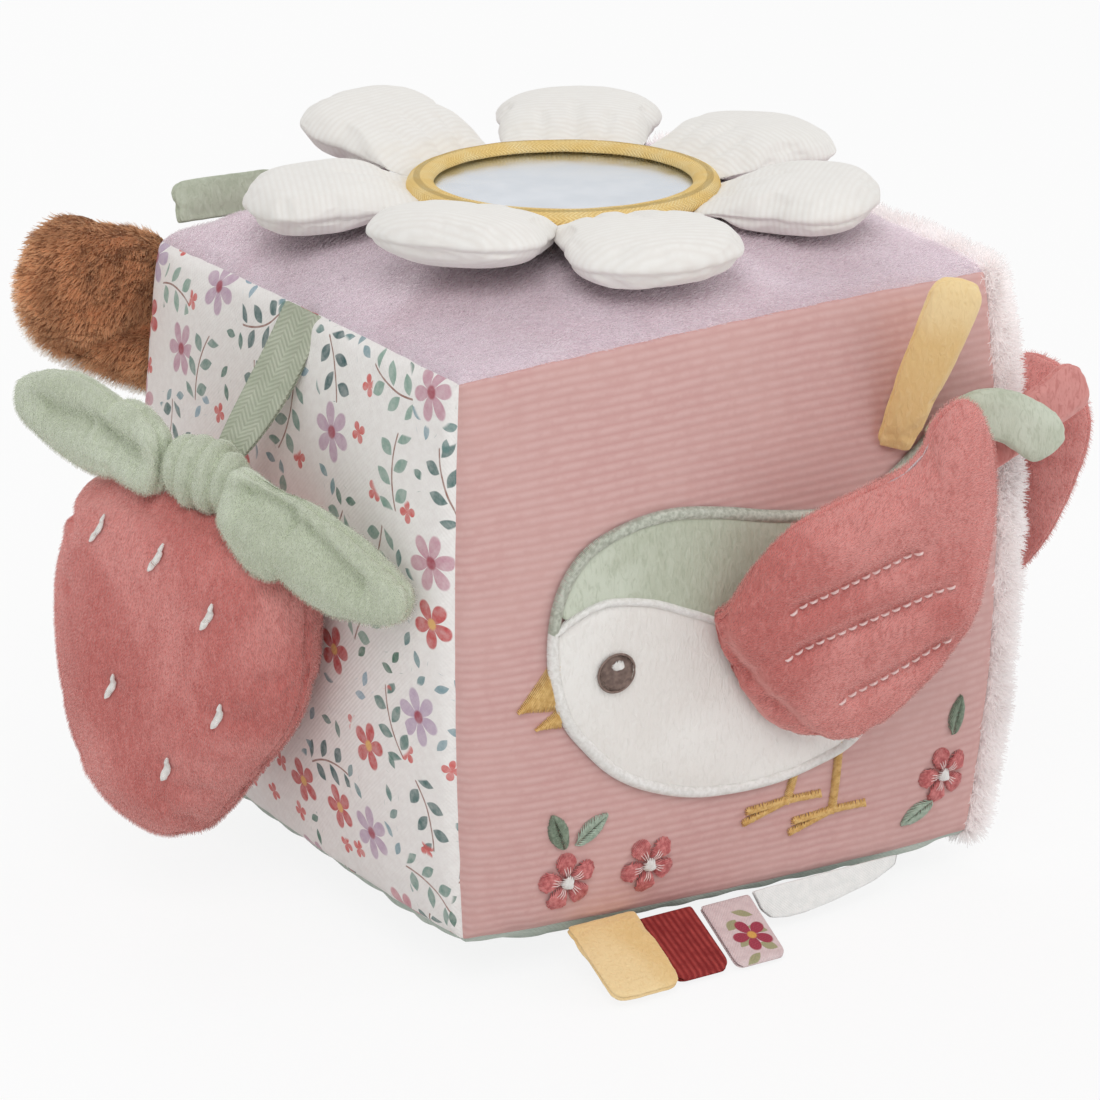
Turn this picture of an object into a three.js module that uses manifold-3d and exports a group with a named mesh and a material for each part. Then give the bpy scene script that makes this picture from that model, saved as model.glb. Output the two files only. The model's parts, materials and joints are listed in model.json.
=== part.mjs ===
// Soft fabric activity block for a baby: a stuffed cube of six cloth panels with sewn-on play pieces.
// Millimetres, +Z up. The origin is the middle of the flat that the block stands on.
// -Y is the side with the bird, -X the printed side, +X the fluffy side, +Z the side with the daisy mirror.
import * as THREE from 'three';
import { mergeVertices } from 'three/addons/utils/BufferGeometryUtils.js';
import Module from 'manifold-3d';

const wasm = await Module();
wasm.setup();

// Clearances and overruns that all pieces share
const seat = 0.3;
const overrun = 5;

// The stuffed cube: half sizes run from its middle to its seams
const block = {
  halfWidth: 73,
  halfDepth: 73,
  halfHeight: 70,
  sideCrown: 7,
  topCrown: 12,
  bottomCrown: 12,
  uprightBow: 3.8,
  rimBow: 1.2,
  standFlat: 0.5,
  rightRise: 2.5,
  clothThickness: 1.6,
};
const panelCells = 8;
const crownPowers = { side: 3, top: 3, bottom: 5 };
const middleZ = block.halfHeight + block.bottomCrown - block.standFlat;

// The rattle in its pocket in the filling, reached from behind
const rattle = { radius: 15, pocketPlay: 0.3, depth: 12, segments: 12 };

// The daisy on top: mirror, its backing and ring, and the petals sewn round it
const mirror = {
  radius: 33.5,
  thickness: 1.6,
  backingThickness: 1.5,
  openingRadius: 31,
  ringRadius: 37.9,
  ringHeight: 4.5,
  ringRounding: 1.1,
  segments: 40,
};
const petal = {
  count: 7,
  length: 40,
  halfWidth: 22.1,
  thickness: 10.5,
  edge: 1.2,
  firstAngle: -98.4,
  turns: [-4.4, -0.4, 2.2, -1.1, -0.1, -2.5, 5],
  lifts: [-3, 0.5, 0.5, 3, 12, -4, 5],
};

// The bird on the front: a box that its outline fills, and how thick its cloth and stitching are
const bird = {
  left: -53.2,
  bottom: 40.7,
  length: 110.2,
  height: 78.8,
  clothThickness: 1.2,
  borderWidth: 2.6,
  borderThickness: 2,
  seamWidth: 1.8,
};
const embroideryThickness = 1;
const eye = { x: -37.5, z: 77, halfWidth: 4.7, halfHeight: 4.4 };
const upperBeak = { tipX: -61.3, tipZ: 71, topX: -50, topZ: 80, lowX: -48, lowZ: 71.5 };
const lowerBeak = { tipX: -54.5, tipZ: 65.4, topX: -46, topZ: 70.6, lowX: -44, lowZ: 64 };
const frontLeg = { topX: 15.5, topZ: 46, footX: 12.8, footZ: 33.8 };
const rearLeg = { topX: 27, topZ: 50, footX: 26.8, footZ: 28 };
const foot = {
  toeWidth: 2.2,
  rearToe: 9.8,
  frontToe: 11.6,
  lowToe: 12.2,
  frontFall: 0.6,
  lowFall: 3.6,
  rearFall: 0.4,
};

// The padded wing, in a plane that leaves the bird along the wing's root
const wing = {
  rootX: 4,
  rootZ: 56.8,
  rootSlope: -46.7,
  lift: 25,
  length: 86,
  width: 61.5,
  frontPadding: 7,
  backPadding: 4.5,
  rootRise: 0.8,
  rootShare: 0.707,
  edge: 1,
  filmThickness: 0.4,
  filmShare: 0.84,
  channelWidth: 1.2,
  channelDepthShare: 0.3,
};

// The three tail feathers, padded tabs. Over says whether one lies on the bird's border, layer how far
// one lies on another feather, and the root share how far its root stands up, as a share of thickness
const feather = { width: 13.5, thickness: 4, edge: 2 };
const yellowFeather = {
  baseX: 40,
  baseZ: 117,
  length: 43.5,
  direction: 76,
  lift: 14,
  turn: -12,
  over: 0,
  layer: 0,
  rootShare: 0.4,
};
const greenFeather = {
  baseX: 49,
  baseZ: 117.3,
  reach: 29,
  arch: 7.5,
  droop: 7,
  direction: 6,
  lift: 15,
  turn: 0,
  over: 1,
  layer: 0.5,
  rootShare: 0.3,
};
const coralFeather = {
  baseX: 57,
  baseZ: 108.5,
  length: 39.5,
  direction: 27,
  lift: 4,
  turn: 0,
  over: 1,
  layer: 0,
  rootShare: 0.3,
};

// Small embroidered flowers and leaves round the bird
const stitchedFlower = { radius: 7.4, petals: 5, pointsPerPetal: 6, waistShare: 0.43 };
const leftFlower = { x: -47.3, z: 26 };
const middleFlower = { x: -25.5, z: 25.8 };
const rightFlower = { x: 60.6, z: 29.4 };
const stitchedLeaf = { length: 10, width: 4.6, stations: [0, 0.25, 0.5, 0.75, 1] };
const stitchedLeaves = [
  { name: 'embroidered_leaf_tall', x: -50.4, z: 39.3, direction: 112 },
  { name: 'embroidered_leaf_short', x: -41.8, z: 38.3, direction: 38 },
  { name: 'embroidered_leaf_upper', x: 63.2, z: 44.6, direction: 80 },
  { name: 'embroidered_leaf_lower', x: 53.6, z: 20.6, direction: 205 },
];

// The hanging strawberry with its woven tape and its tied leaves
const berry = {
  knotX: -101.5,
  knotY: -11.8,
  knotZ: 116.6,
  turn: 20,
  left: -51.5,
  bottom: -95,
  width: 79,
  height: 91,
  thickness: 31,
  edge: 2.4,
  sink: 3,
};
const knot = {
  halfWidth: 11.5,
  halfHeight: 9.5,
  halfDepth: 7.5,
  forward: 3,
  wrapTurns: 3,
  wrapDepth: 0.8,
  segments: 18,
};
const tiedLeaf = { length: 47, width: 23, thickness: 9, edge: 3, forward: 7.5 };
const leftLeaf = { rise: 8, swingOut: 5 };
const rightLeaf = { rise: -17.5, swingOut: 5 };
const tape = {
  width: 10,
  thickness: 1.1,
  startY: -8,
  sag: 2.2,
  neckWidth: 6,
  gather: 4,
  endRiseShare: 0.3,
  steps: 7,
};

// The fur tail that sticks out behind the printed side
const tail = {
  rootX: -47,
  rootZ: 112,
  left: -106,
  bottom: 100,
  width: 66,
  height: 53.6,
  frontPadding: 9,
  backPadding: 8,
  edge: 2,
  whiteMargin: 1.2,
};

// Tabs sewn into the seams
const tab = { thickness: 2, edgeRadius: 4, mostRadiusShare: 0.45, curvePoints: 4 };
const backTab = { x: -51, width: 30, length: 10.5, lean: 24, thickness: 3.2 };
const yellowTab = { x: -36.6, width: 18.6, length: 24, drop: 24.5, slant: 0, layer: 0.5, rootGaps: 3 };
const darkRedTab = { x: -18.6, width: 15.5, length: 20.5, drop: 24, slant: 0.7, layer: -0.5, rootGaps: 1 };
const printedTab = { x: -1.4, width: 14, length: 21, drop: 22, slant: 2, layer: -0.5, rootGaps: 1 };
const label = { left: 5.9, width: 43, drop: 8, thickness: 1.2, tilt: 24 };

// The padded butterfly on the fluffy side
const butterfly = {
  y: -8,
  z: 93,
  bodyWidth: 13,
  bodyLength: 54,
  bodyThickness: 8,
  wingLength: 60,
  wingHeight: 62,
  wingThickness: 11,
  edge: 1.6,
  rootRise: 2.6,
  rootGap: 1.7,
  lift: 22,
};

// Outlines as shares of the sizes above, across and up
const birdShares = [
  [0, 0.524], [0.015, 0.702], [0.074, 0.824], [0.167, 0.879], [0.283, 0.897], [0.41, 0.872],
  [0.537, 0.831], [0.664, 0.806], [0.764, 0.824], [0.837, 0.874], [0.909, 0.937], [0.982, 1],
  [1, 0.918], [0.964, 0.727], [0.918, 0.473], [0.855, 0.245], [0.764, 0.082], [0.655, 0.025],
  [0.526, 0], [0.372, 0.015], [0.247, 0.07], [0.156, 0.143], [0.083, 0.245], [0.029, 0.353],
];
const birdSeamShares = [
  [-0.02, 0.59], [0.035, 0.637], [0.09, 0.668], [0.142, 0.673], [0.237, 0.645], [0.334, 0.588],
  [0.437, 0.53], [0.592, 0.499], [0.755, 0.549], [0.882, 0.689], [0.99, 0.87],
];
const petalShares = [
  [0, -0.5], [0.16, -0.66], [0.4, -0.92], [0.66, -1], [0.87, -0.78], [1, 0],
  [0.87, 0.78], [0.66, 1], [0.4, 0.92], [0.16, 0.66], [0, 0.5],
];
const petalSpineShares = [[0.3, 0], [0.62, 0]];
const wingShares = [
  [0.13, 0.093], [0.447, 0.017], [0.707, 0], [0.927, 0.093], [1, 0.203], [0.992, 0.39],
  [0.902, 0.581], [0.789, 0.686], [0.561, 0.837], [0.341, 0.942], [0.236, 0.977], [0.089, 1],
  [0.033, 0.965], [0.041, 0.872], [0.114, 0.767], [0.065, 0.599], [0, 0.424], [0.033, 0.273],
  [0.106, 0.174],
];
const wingSpineShares = [[0.6, 0.3], [0.47, 0.5], [0.2, 0.8]];
const wingChannelShares = [
  [[0.34, 0.26], [0.46, 0.645]],
  [[0.495, 0.163], [0.69, 0.645]],
  [[0.82, 0.18], [0.91, 0.535]],
];
const berryShares = [
  [0.64, 0.985], [0.43, 1], [0.2, 0.958], [0.053, 0.841], [0, 0.61], [0, 0.48],
  [0.041, 0.3], [0.112, 0.153], [0.218, 0.048], [0.35, 0], [0.5, 0.005], [0.606, 0.08],
  [0.747, 0.228], [0.876, 0.376], [0.959, 0.503], [1, 0.693], [0.959, 0.841], [0.82, 0.937],
];
const berrySpineShares = [[0.5, 0.68], [0.45, 0.28]];
const tiedLeafWidthShares = [0.34, 0.62, 0.92, 1, 0.93, 0.7, 0.36];
const featherWidthShares = [0.6, 0.86, 1, 1, 0.97, 0.62];
const featherPathShares = [[0, 0], [0.25, 0], [0.5, 0], [0.75, 0], [0.92, 0], [1, 0]];
const featherArchShares = [[0, 0], [0.25, 0.62], [0.5, 0.6], [0.75, 0.15], [0.93, -0.5], [1, -1]];
const tailShares = [
  [0.92, 0], [0.7, 0.02], [0.46, 0.11], [0.25, 0.25], [0.129, 0.338], [0.032, 0.476],
  [0, 0.625], [0.014, 0.767], [0.067, 0.899], [0.152, 0.97], [0.256, 1], [0.4, 0.948],
  [0.565, 0.886], [0.7, 0.77], [0.9, 0.5], [1, 0.2],
];
const tailSpineShares = [[0.75, 0.27], [0.45, 0.52], [0.28, 0.68]];
const labelShares = [
  [0, -0.05], [0.03, -0.6], [0.09, -0.93], [0.2, -1], [0.5, -0.9], [0.8, -0.62], [0.97, -0.3], [1, -0.05],
];
const butterflyWingShares = [
  [0, -0.15], [0, 0.15], [0.17, 0.26], [0.37, 0.4], [0.6, 0.5], [0.8, 0.5], [0.95, 0.4], [1, 0.25],
  [0.96, 0.07], [0.87, -0.16], [0.76, -0.34], [0.62, -0.47], [0.46, -0.5], [0.3, -0.42], [0.15, -0.27],
];
const butterflySpineShares = [[0.4, 0.04], [0.68, 0.16]];
// How many points each smoothed outline has
const outlinePoints = {
  bird: 44,
  birdSeam: 20,
  eye: 20,
  petal: 16,
  wing: 32,
  feather: 20,
  berry: 28,
  tiedLeaf: 24,
  tail: 26,
  label: 16,
  butterflyBody: 20,
  butterflyWing: 26,
};
// Rings of a padded piece, from its spine out to its sewn edge
const ringShares = [0.42, 0.76, 0.94, 1];

const colours = {
  filling: 0xf2efe8,
  lilacPlush: 0xbfa3b5,
  pinkRib: 0xc9918c,
  printedCotton: 0xe9e4df,
  paleFluff: 0xd9c4c6,
  sageCotton: 0xafb9a4,
  mirror: 0xc7ccd2,
  mustard: 0xd8b05e,
  offWhite: 0xece7df,
  sageVelour: 0xb3bda7,
  whiteThread: 0xdedad2,
  eyeBrown: 0x6b5148,
  coral: 0xc4605f,
  film: 0xdfe3e6,
  yellowVelour: 0xe3c27e,
  darkRed: 0x9a3238,
  printedRibbon: 0xecd6dc,
  threadRose: 0xbd5560,
  threadGreen: 0x7f8f79,
  tapeGreen: 0xa5ae8f,
  brownFur: 0xa5693f,
  whiteFur: 0xe6e0d8,
  rattle: 0xd7d3cb,
};

// Solids from meshes and back

function solidOf(geometry) {
  const bare = new THREE.BufferGeometry();
  bare.setAttribute('position', geometry.getAttribute('position'));
  bare.setIndex(geometry.getIndex());
  const merged = mergeVertices(bare);
  return new wasm.Manifold(new wasm.Mesh({
    numProp: 3,
    vertProperties: new Float32Array(merged.getAttribute('position').array),
    triVerts: new Uint32Array(merged.getIndex().array),
  }));
}

function geometryOf(solid) {
  const mesh = solid.getMesh();
  const geometry = new THREE.BufferGeometry();
  geometry.setAttribute('position', new THREE.BufferAttribute(new Float32Array(mesh.vertProperties), 3));
  geometry.setIndex(new THREE.BufferAttribute(new Uint32Array(mesh.triVerts), 1));
  geometry.computeVertexNormals();
  return geometry;
}

function geometryFrom(points, triangles) {
  const geometry = new THREE.BufferGeometry().setFromPoints(points);
  geometry.setIndex(triangles);
  geometry.computeVertexNormals();
  return geometry;
}

// Flat outlines

function outlineFrom(shares, width, height, left = 0, bottom = 0) {
  return shares.map(([across, up]) => new THREE.Vector2(left + across * width, bottom + up * height));
}

function smoothLoop(corners, count) {
  const curve = new THREE.CatmullRomCurve3(corners.map((p) => new THREE.Vector3(p.x, p.y, 0)), true);
  return curve.getPoints(count).slice(0, count).map((p) => new THREE.Vector2(p.x, p.y));
}

function smoothPath(corners, count) {
  const curve = new THREE.CatmullRomCurve3(corners.map((p) => new THREE.Vector3(p.x, p.y, 0)));
  return curve.getPoints(count).map((p) => new THREE.Vector2(p.x, p.y));
}

function counterClockwise(points) {
  return THREE.ShapeUtils.isClockWise(points) ? [...points].reverse() : points;
}

// Every point of a closed outline moved along the outline's normal, outwards when the distance is positive
function grown(points, distance) {
  const loop = counterClockwise(points);
  return loop.map((point, index) => {
    const before = loop[(index + loop.length - 1) % loop.length];
    const after = loop[(index + 1) % loop.length];
    const along = new THREE.Vector2().subVectors(after, before).normalize();
    return new THREE.Vector2(point.x + along.y * distance, point.y - along.x * distance);
  });
}

// An open path moved sideways, to its left when the distance is positive
function shifted(path, distance) {
  return path.map((point, index) => {
    const before = path[Math.max(index - 1, 0)];
    const after = path[Math.min(index + 1, path.length - 1)];
    const along = new THREE.Vector2().subVectors(after, before).normalize();
    return new THREE.Vector2(point.x - along.y * distance, point.y + along.x * distance);
  });
}

function bandAlong(path, widths) {
  const side = (sign) => path.map((point, index) => {
    const edge = shifted(path, sign * widths[index] / 2);
    return edge[index];
  });
  return [...side(-1), ...side(1).reverse()];
}

function prism(points, low, high) {
  const shape = new THREE.Shape(counterClockwise(points));
  const geometry = new THREE.ExtrudeGeometry(shape, { depth: high - low, bevelEnabled: false });
  return geometry.translate(0, 0, low);
}

// Padded pieces: an outline sewn along its edge, swelling towards a spine

function nearestOnSpine(spine, point) {
  let best = spine[0].clone();
  for (let index = 1; index < spine.length; index += 1) {
    const start = spine[index - 1];
    const run = new THREE.Vector2().subVectors(spine[index], start);
    const share = new THREE.Vector2().subVectors(point, start).dot(run) / run.lengthSq();
    const candidate = start.clone().addScaledVector(run, THREE.MathUtils.clamp(share, 0, 1));
    if (candidate.distanceTo(point) < best.distanceTo(point)) best = candidate;
  }
  return best;
}

// An outline shrunk towards its spine, to a share of its size
function drawnIn(outline, spine, share) {
  return outline.map((corner) => nearestOnSpine(spine, corner).lerp(corner, share));
}

function swell(share) {
  return Math.sqrt((1 - share ** 2) / (1 - ringShares[0] ** 2));
}

// The piece lies in the XY plane: its sewn edge runs from lowEdge to highEdge, its faces swell to low
// and to high
function padded(outline, spine, { low, high, lowEdge, highEdge }) {
  const loop = counterClockwise(outline);
  const points = [];
  const triangles = [];
  const levels = [];
  const addRing = (share, edgeLevel, fullLevel) => {
    const level = THREE.MathUtils.lerp(edgeLevel, fullLevel, swell(share));
    levels.push(points.length);
    drawnIn(loop, spine, share).forEach((at) => points.push(new THREE.Vector3(at.x, at.y, level)));
  };
  ringShares.forEach((share) => addRing(share, lowEdge, low));
  [...ringShares].reverse().forEach((share) => addRing(share, highEdge, high));
  const count = loop.length;
  for (let level = 1; level < levels.length; level += 1) {
    for (let index = 0; index < count; index += 1) {
      const next = (index + 1) % count;
      const [a, b] = [levels[level - 1] + index, levels[level - 1] + next];
      const [c, d] = [levels[level] + next, levels[level] + index];
      triangles.push(a, b, c, a, c, d);
    }
  }
  const cap = (first) => {
    const flat = points.slice(first, first + count).map((p) => new THREE.Vector2(p.x, p.y));
    return THREE.ShapeUtils.triangulateShape(flat, []);
  };
  cap(0).forEach(([a, b, c]) => triangles.push(a, c, b));
  const top = levels[levels.length - 1];
  cap(top).forEach(([a, b, c]) => triangles.push(top + a, top + b, top + c));
  return geometryFrom(points, triangles);
}

function evenlyPadded(outline, spine, thickness, edge) {
  const [high, highEdge] = [thickness / 2, edge / 2];
  return padded(outline, spine, { low: -high, high, lowEdge: -highEdge, highEdge });
}

// The six faces of the cube, each with its own axes and half sizes

const { halfWidth, halfDepth, halfHeight, sideCrown, topCrown, bottomCrown } = block;
const axisX = new THREE.Vector3(1, 0, 0);
const axisY = new THREE.Vector3(0, 1, 0);
const axisZ = new THREE.Vector3(0, 0, 1);
const minusX = axisX.clone().negate();
const minusY = axisY.clone().negate();
const minusZ = axisZ.clone().negate();
const frontHalves = [halfWidth, halfHeight, halfDepth];
const sideHalves = [halfDepth, halfHeight, halfWidth];
const lyingHalves = [halfWidth, halfDepth, halfHeight];
const upright = { crown: sideCrown, power: crownPowers.side, bows: [block.uprightBow, block.rimBow] };
const lying = { half: lyingHalves, bows: [block.rimBow, block.rimBow] };
const faces = {
  front: { u: axisX, v: axisZ, n: minusY, half: frontHalves, ...upright },
  back: { u: minusX, v: axisZ, n: axisY, half: frontHalves, ...upright },
  left: { u: minusY, v: axisZ, n: minusX, half: sideHalves, ...upright },
  right: { u: axisY, v: axisZ, n: axisX, half: sideHalves, ...upright },
  top: { u: axisX, v: axisY, n: axisZ, crown: topCrown, power: crownPowers.top, ...lying },
  bottom: { u: axisX, v: minusY, n: minusZ, crown: bottomCrown, power: crownPowers.bottom, ...lying },
};

// How far a seam bows out of its straight line, at a share of the way from its middle to its end
function bow(most, share) {
  return most * (1 - share ** 2);
}

// How far out a face stands: its crown in the middle, its bowed seams round the edge
function standing(face, u, v) {
  const crown = face.crown * (1 - Math.abs(u) ** face.power) * (1 - Math.abs(v) ** face.power);
  return face.half[2] + crown + u ** 2 * bow(face.bows[0], v) + v ** 2 * bow(face.bows[1], u);
}

// The filling holds the right-hand seams further apart than the left-hand ones
function spread(x) {
  return 1 + (block.rightRise / halfHeight) * (x / halfWidth);
}

function settled(face, across, up, out) {
  const point = face.n.clone().multiplyScalar(out);
  point.addScaledVector(face.u, across).addScaledVector(face.v, up);
  point.z = middleZ + point.z * spread(point.x);
  return point;
}

// A point of a face at a depth under the cloth's outer side, with the seams drawn in by a margin
function facePoint(face, u, v, depth, margin) {
  const inset = depth + margin;
  const across = u * (face.half[0] + bow(face.bows[0], v) - inset);
  const up = v * (face.half[1] + bow(face.bows[1], u) - inset);
  return settled(face, across, up, standing(face, u, v) - depth);
}

// A point that stands a little over the cloth
function raisedPoint(face, u, v, lift) {
  return facePoint(face, u, v, -lift, lift);
}

// Where a place of the front, given across and up, lies on the cloth: its distance out from the middle
function frontOut(x, z) {
  const v = (z - middleZ) / halfHeight;
  const u = x / (halfWidth + bow(block.uprightBow, v));
  return standing(faces.front, u, (z - middleZ) / (halfHeight + bow(block.rimBow, u)));
}

// Grid lines of a panel lie closer together towards its seams, where the cloth turns
function easedShare(line) {
  return Math.sin((Math.PI / 2) * (2 * line / panelCells - 1));
}

function faceGrid(pointAt) {
  const points = [];
  for (let row = 0; row <= panelCells; row += 1) {
    for (let column = 0; column <= panelCells; column += 1) {
      points.push(pointAt(easedShare(column), easedShare(row)));
    }
  }
  return points;
}

function gridTriangles(offset, outwards) {
  const triangles = [];
  const row = panelCells + 1;
  for (let y = 0; y < panelCells; y += 1) {
    for (let x = 0; x < panelCells; x += 1) {
      const corner = offset + y * row + x;
      const quad = [corner, corner + 1, corner + row + 1, corner, corner + row + 1, corner + row];
      triangles.push(...(outwards ? quad : quad.reverse()));
    }
  }
  return triangles;
}

function gridRim() {
  const row = panelCells + 1;
  const rim = [];
  for (let x = 0; x < panelCells; x += 1) rim.push(x);
  for (let y = 0; y < panelCells; y += 1) rim.push(y * row + panelCells);
  for (let x = panelCells; x > 0; x -= 1) rim.push(panelCells * row + x);
  for (let y = panelCells; y > 0; y -= 1) rim.push(y * row);
  return rim;
}

function sheetBetween(outerAt, innerAt) {
  const outer = faceGrid(outerAt);
  const inner = faceGrid(innerAt);
  const triangles = [...gridTriangles(0, true), ...gridTriangles(outer.length, false)];
  const rim = gridRim();
  rim.forEach((a, index) => {
    const b = rim[(index + 1) % rim.length];
    triangles.push(a, outer.length + a, outer.length + b, a, outer.length + b, b);
  });
  return geometryFrom([...outer, ...inner], triangles);
}

function panelSheet(face) {
  const mitre = seat / Math.SQRT2;
  return sheetBetween(
    (u, v) => facePoint(face, u, v, 0, mitre),
    (u, v) => facePoint(face, u, v, block.clothThickness, mitre),
  );
}

// Cloth or stitching laid on a face: outlines in the face's own plane, cut out of a layer that follows
// the crown
function laidOn(face, outlines, low, high, cuts = []) {
  const lifted = (level) => (u, v) => raisedPoint(face, u, v, level);
  const layer = solidOf(sheetBetween(lifted(high), lifted(low)));
  const frame = new THREE.Matrix4().makeBasis(face.u, face.v, face.n);
  const column = (points) => {
    const geometry = prism(points, face.half[2] - overrun, face.half[2] + face.crown + high + 2 * overrun);
    return solidOf(geometry.applyMatrix4(frame));
  };
  let stencil = column(outlines[0]);
  outlines.slice(1).forEach((points) => {
    stencil = stencil.add(column(points));
  });
  cuts.forEach((points) => {
    stencil = stencil.subtract(column(points));
  });
  return geometryOf(layer.intersect(stencil));
}

// The seam between the top or the bottom and a side, at a place along it: its distance out and its height
function rimOut(along, half) {
  return half + bow(block.rimBow, along / half);
}

function rimZ(x, along, half, upOrDown) {
  return middleZ + upOrDown * (halfHeight + bow(block.rimBow, along / half)) * spread(x);
}

// Placing

const model = new THREE.Group();

function piece(parent, name, geometry, colour, roughness = 0.9, metalness = 0) {
  const material = new THREE.MeshStandardMaterial({ color: colour, roughness, metalness });
  const mesh = new THREE.Mesh(geometry, material);
  mesh.name = name;
  parent.add(mesh);
  return mesh;
}

// A group whose X and Y axes lie along the given directions; it turns about its own X axis by a lift
function frameAt(parent, name, origin, along, across, lift = 0) {
  const holder = new THREE.Group();
  const normal = new THREE.Vector3().crossVectors(along, across).normalize();
  holder.quaternion.setFromRotationMatrix(new THREE.Matrix4().makeBasis(along, across, normal));
  holder.position.copy(origin);
  parent.add(holder);
  const hinge = new THREE.Group();
  hinge.name = name;
  hinge.rotation.x = THREE.MathUtils.degToRad(lift);
  holder.add(hinge);
  return hinge;
}

function onPlane(degrees, first, second) {
  const angle = THREE.MathUtils.degToRad(degrees);
  return first.clone().multiplyScalar(Math.cos(angle)).addScaledVector(second, Math.sin(angle));
}

// The cube itself

function addBlock() {
  const shell = [];
  const triangles = [];
  const inner = block.clothThickness + seat;
  Object.values(faces).forEach((face) => {
    triangles.push(...gridTriangles(shell.length, true));
    shell.push(...faceGrid((u, v) => facePoint(face, u, v, inner, 0)));
  });
  const pocketRadius = rattle.radius + rattle.pocketPlay;
  const pocketLength = halfDepth + sideCrown + rattle.depth + overrun;
  const pocket = new THREE.CylinderGeometry(pocketRadius, pocketRadius, pocketLength, 2 * rattle.segments);
  pocket.translate(0, pocketLength / 2 - rattle.depth - rattle.pocketPlay, 0);
  pocket.translate(0, 0, middleZ);
  const filling = solidOf(geometryFrom(shell, triangles)).subtract(solidOf(pocket));
  piece(model, 'filling_block', geometryOf(filling), colours.filling, 1);
  const ball = new THREE.SphereGeometry(rattle.radius, 2 * rattle.segments, rattle.segments);
  const shellOfBall = piece(model, 'rattle_ball', geometryOf(solidOf(ball)), colours.rattle, 0.5);
  shellOfBall.position.set(0, rattle.radius - rattle.depth, middleZ);

  const under = new THREE.BoxGeometry(3 * halfWidth, 3 * halfDepth, halfHeight);
  under.translate(0, 0, -halfHeight / 2);
  const flattened = solidOf(panelSheet(faces.bottom)).subtract(solidOf(under));
  piece(model, 'bottom_panel', geometryOf(flattened), colours.sageCotton);
  piece(model, 'top_panel', panelSheet(faces.top), colours.lilacPlush);
  piece(model, 'front_panel', panelSheet(faces.front), colours.pinkRib);
  piece(model, 'left_panel', panelSheet(faces.left), colours.printedCotton);
  piece(model, 'right_panel', panelSheet(faces.right), colours.paleFluff);
  piece(model, 'back_panel', panelSheet(faces.back), colours.sageCotton);
}

// The daisy: backing, mirror and ring stacked on the crown of the top panel, petals hinged at the ring

function addDaisy() {
  const crown = faceGrid((u, v) => raisedPoint(faces.top, u, v, 0));
  const crownZ = Math.max(...crown.map((point) => point.z));
  const backingZ = crownZ + seat;
  const mirrorZ = backingZ + mirror.backingThickness + seat;
  const ringTop = mirrorZ + mirror.ringHeight;
  const roundPlate = (radius, thickness, low) => {
    const plate = new THREE.CylinderGeometry(radius, radius, thickness, mirror.segments);
    return geometryOf(solidOf(plate.rotateX(Math.PI / 2).translate(0, 0, low + thickness / 2)));
  };
  const backing = roundPlate(mirror.ringRadius, mirror.backingThickness, backingZ);
  piece(model, 'mirror_backing', backing, colours.offWhite);
  const disc = roundPlate(mirror.radius, mirror.thickness, mirrorZ);
  piece(model, 'mirror_disc', disc, colours.mirror, 0.08, 1);

  const lip = mirrorZ + mirror.thickness + seat;
  const seatRadius = mirror.radius + seat;
  const rounding = mirror.ringRounding;
  const section = [
    [seatRadius, mirrorZ], [mirror.ringRadius, mirrorZ], [mirror.ringRadius, ringTop - rounding],
    [mirror.ringRadius - rounding, ringTop], [mirror.openingRadius + rounding, ringTop],
    [mirror.openingRadius, ringTop - rounding], [mirror.openingRadius, lip],
    [seatRadius, lip], [seatRadius, mirrorZ],
  ];
  const ring = new THREE.LatheGeometry(section.map(([r, z]) => new THREE.Vector2(r, z)), mirror.segments);
  ring.rotateX(Math.PI / 2);
  piece(model, 'mirror_ring', geometryOf(solidOf(ring)), colours.mustard);

  const turned = (points) => points.map((p) => new THREE.Vector2(p.y, p.x));
  const corners = outlineFrom(petalShares, petal.length, petal.halfWidth);
  const outline = turned(smoothPath(corners, outlinePoints.petal));
  const spine = turned(outlineFrom(petalSpineShares, petal.length, petal.halfWidth));
  const hingeZ = (mirrorZ + ringTop) / 2;
  for (let index = 0; index < petal.count; index += 1) {
    const angle = petal.firstAngle + 360 * index / petal.count + petal.turns[index];
    const outwards = onPlane(angle, axisX, axisY);
    const sideways = onPlane(angle - 90, axisX, axisY);
    const origin = outwards.clone().multiplyScalar(mirror.ringRadius + seat);
    origin.z = hingeZ;
    const name = `petal_${index + 1}`;
    const hinge = frameAt(model, `${name}_hinge`, origin, sideways, outwards, petal.lifts[index]);
    piece(hinge, name, evenlyPadded(outline, spine, petal.thickness, petal.edge), colours.offWhite);
  }
}

// The bird: two cloth patches inside a satin-stitched border, with embroidered eye, beak and legs

function stroke(fromX, fromZ, toX, toZ, width) {
  const path = [new THREE.Vector2(fromX, fromZ), new THREE.Vector2(toX, toZ)];
  return bandAlong(path, [width, width]);
}

function legStrokes(leg) {
  const { footX, footZ } = leg;
  return [
    stroke(leg.topX, leg.topZ, footX, footZ - foot.toeWidth / 3, foot.toeWidth),
    stroke(footX - foot.toeWidth / 2, footZ, footX + foot.rearToe, footZ - foot.rearFall, foot.toeWidth),
    stroke(footX + foot.toeWidth / 2, footZ, footX - foot.frontToe, footZ - foot.frontFall, foot.toeWidth),
    stroke(footX, footZ, footX - foot.lowToe, footZ - foot.lowFall, foot.toeWidth),
  ];
}

function triangleOf(shape) {
  return [
    new THREE.Vector2(shape.tipX, shape.tipZ),
    new THREE.Vector2(shape.lowX, shape.lowZ),
    new THREE.Vector2(shape.topX, shape.topZ),
  ];
}

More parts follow.
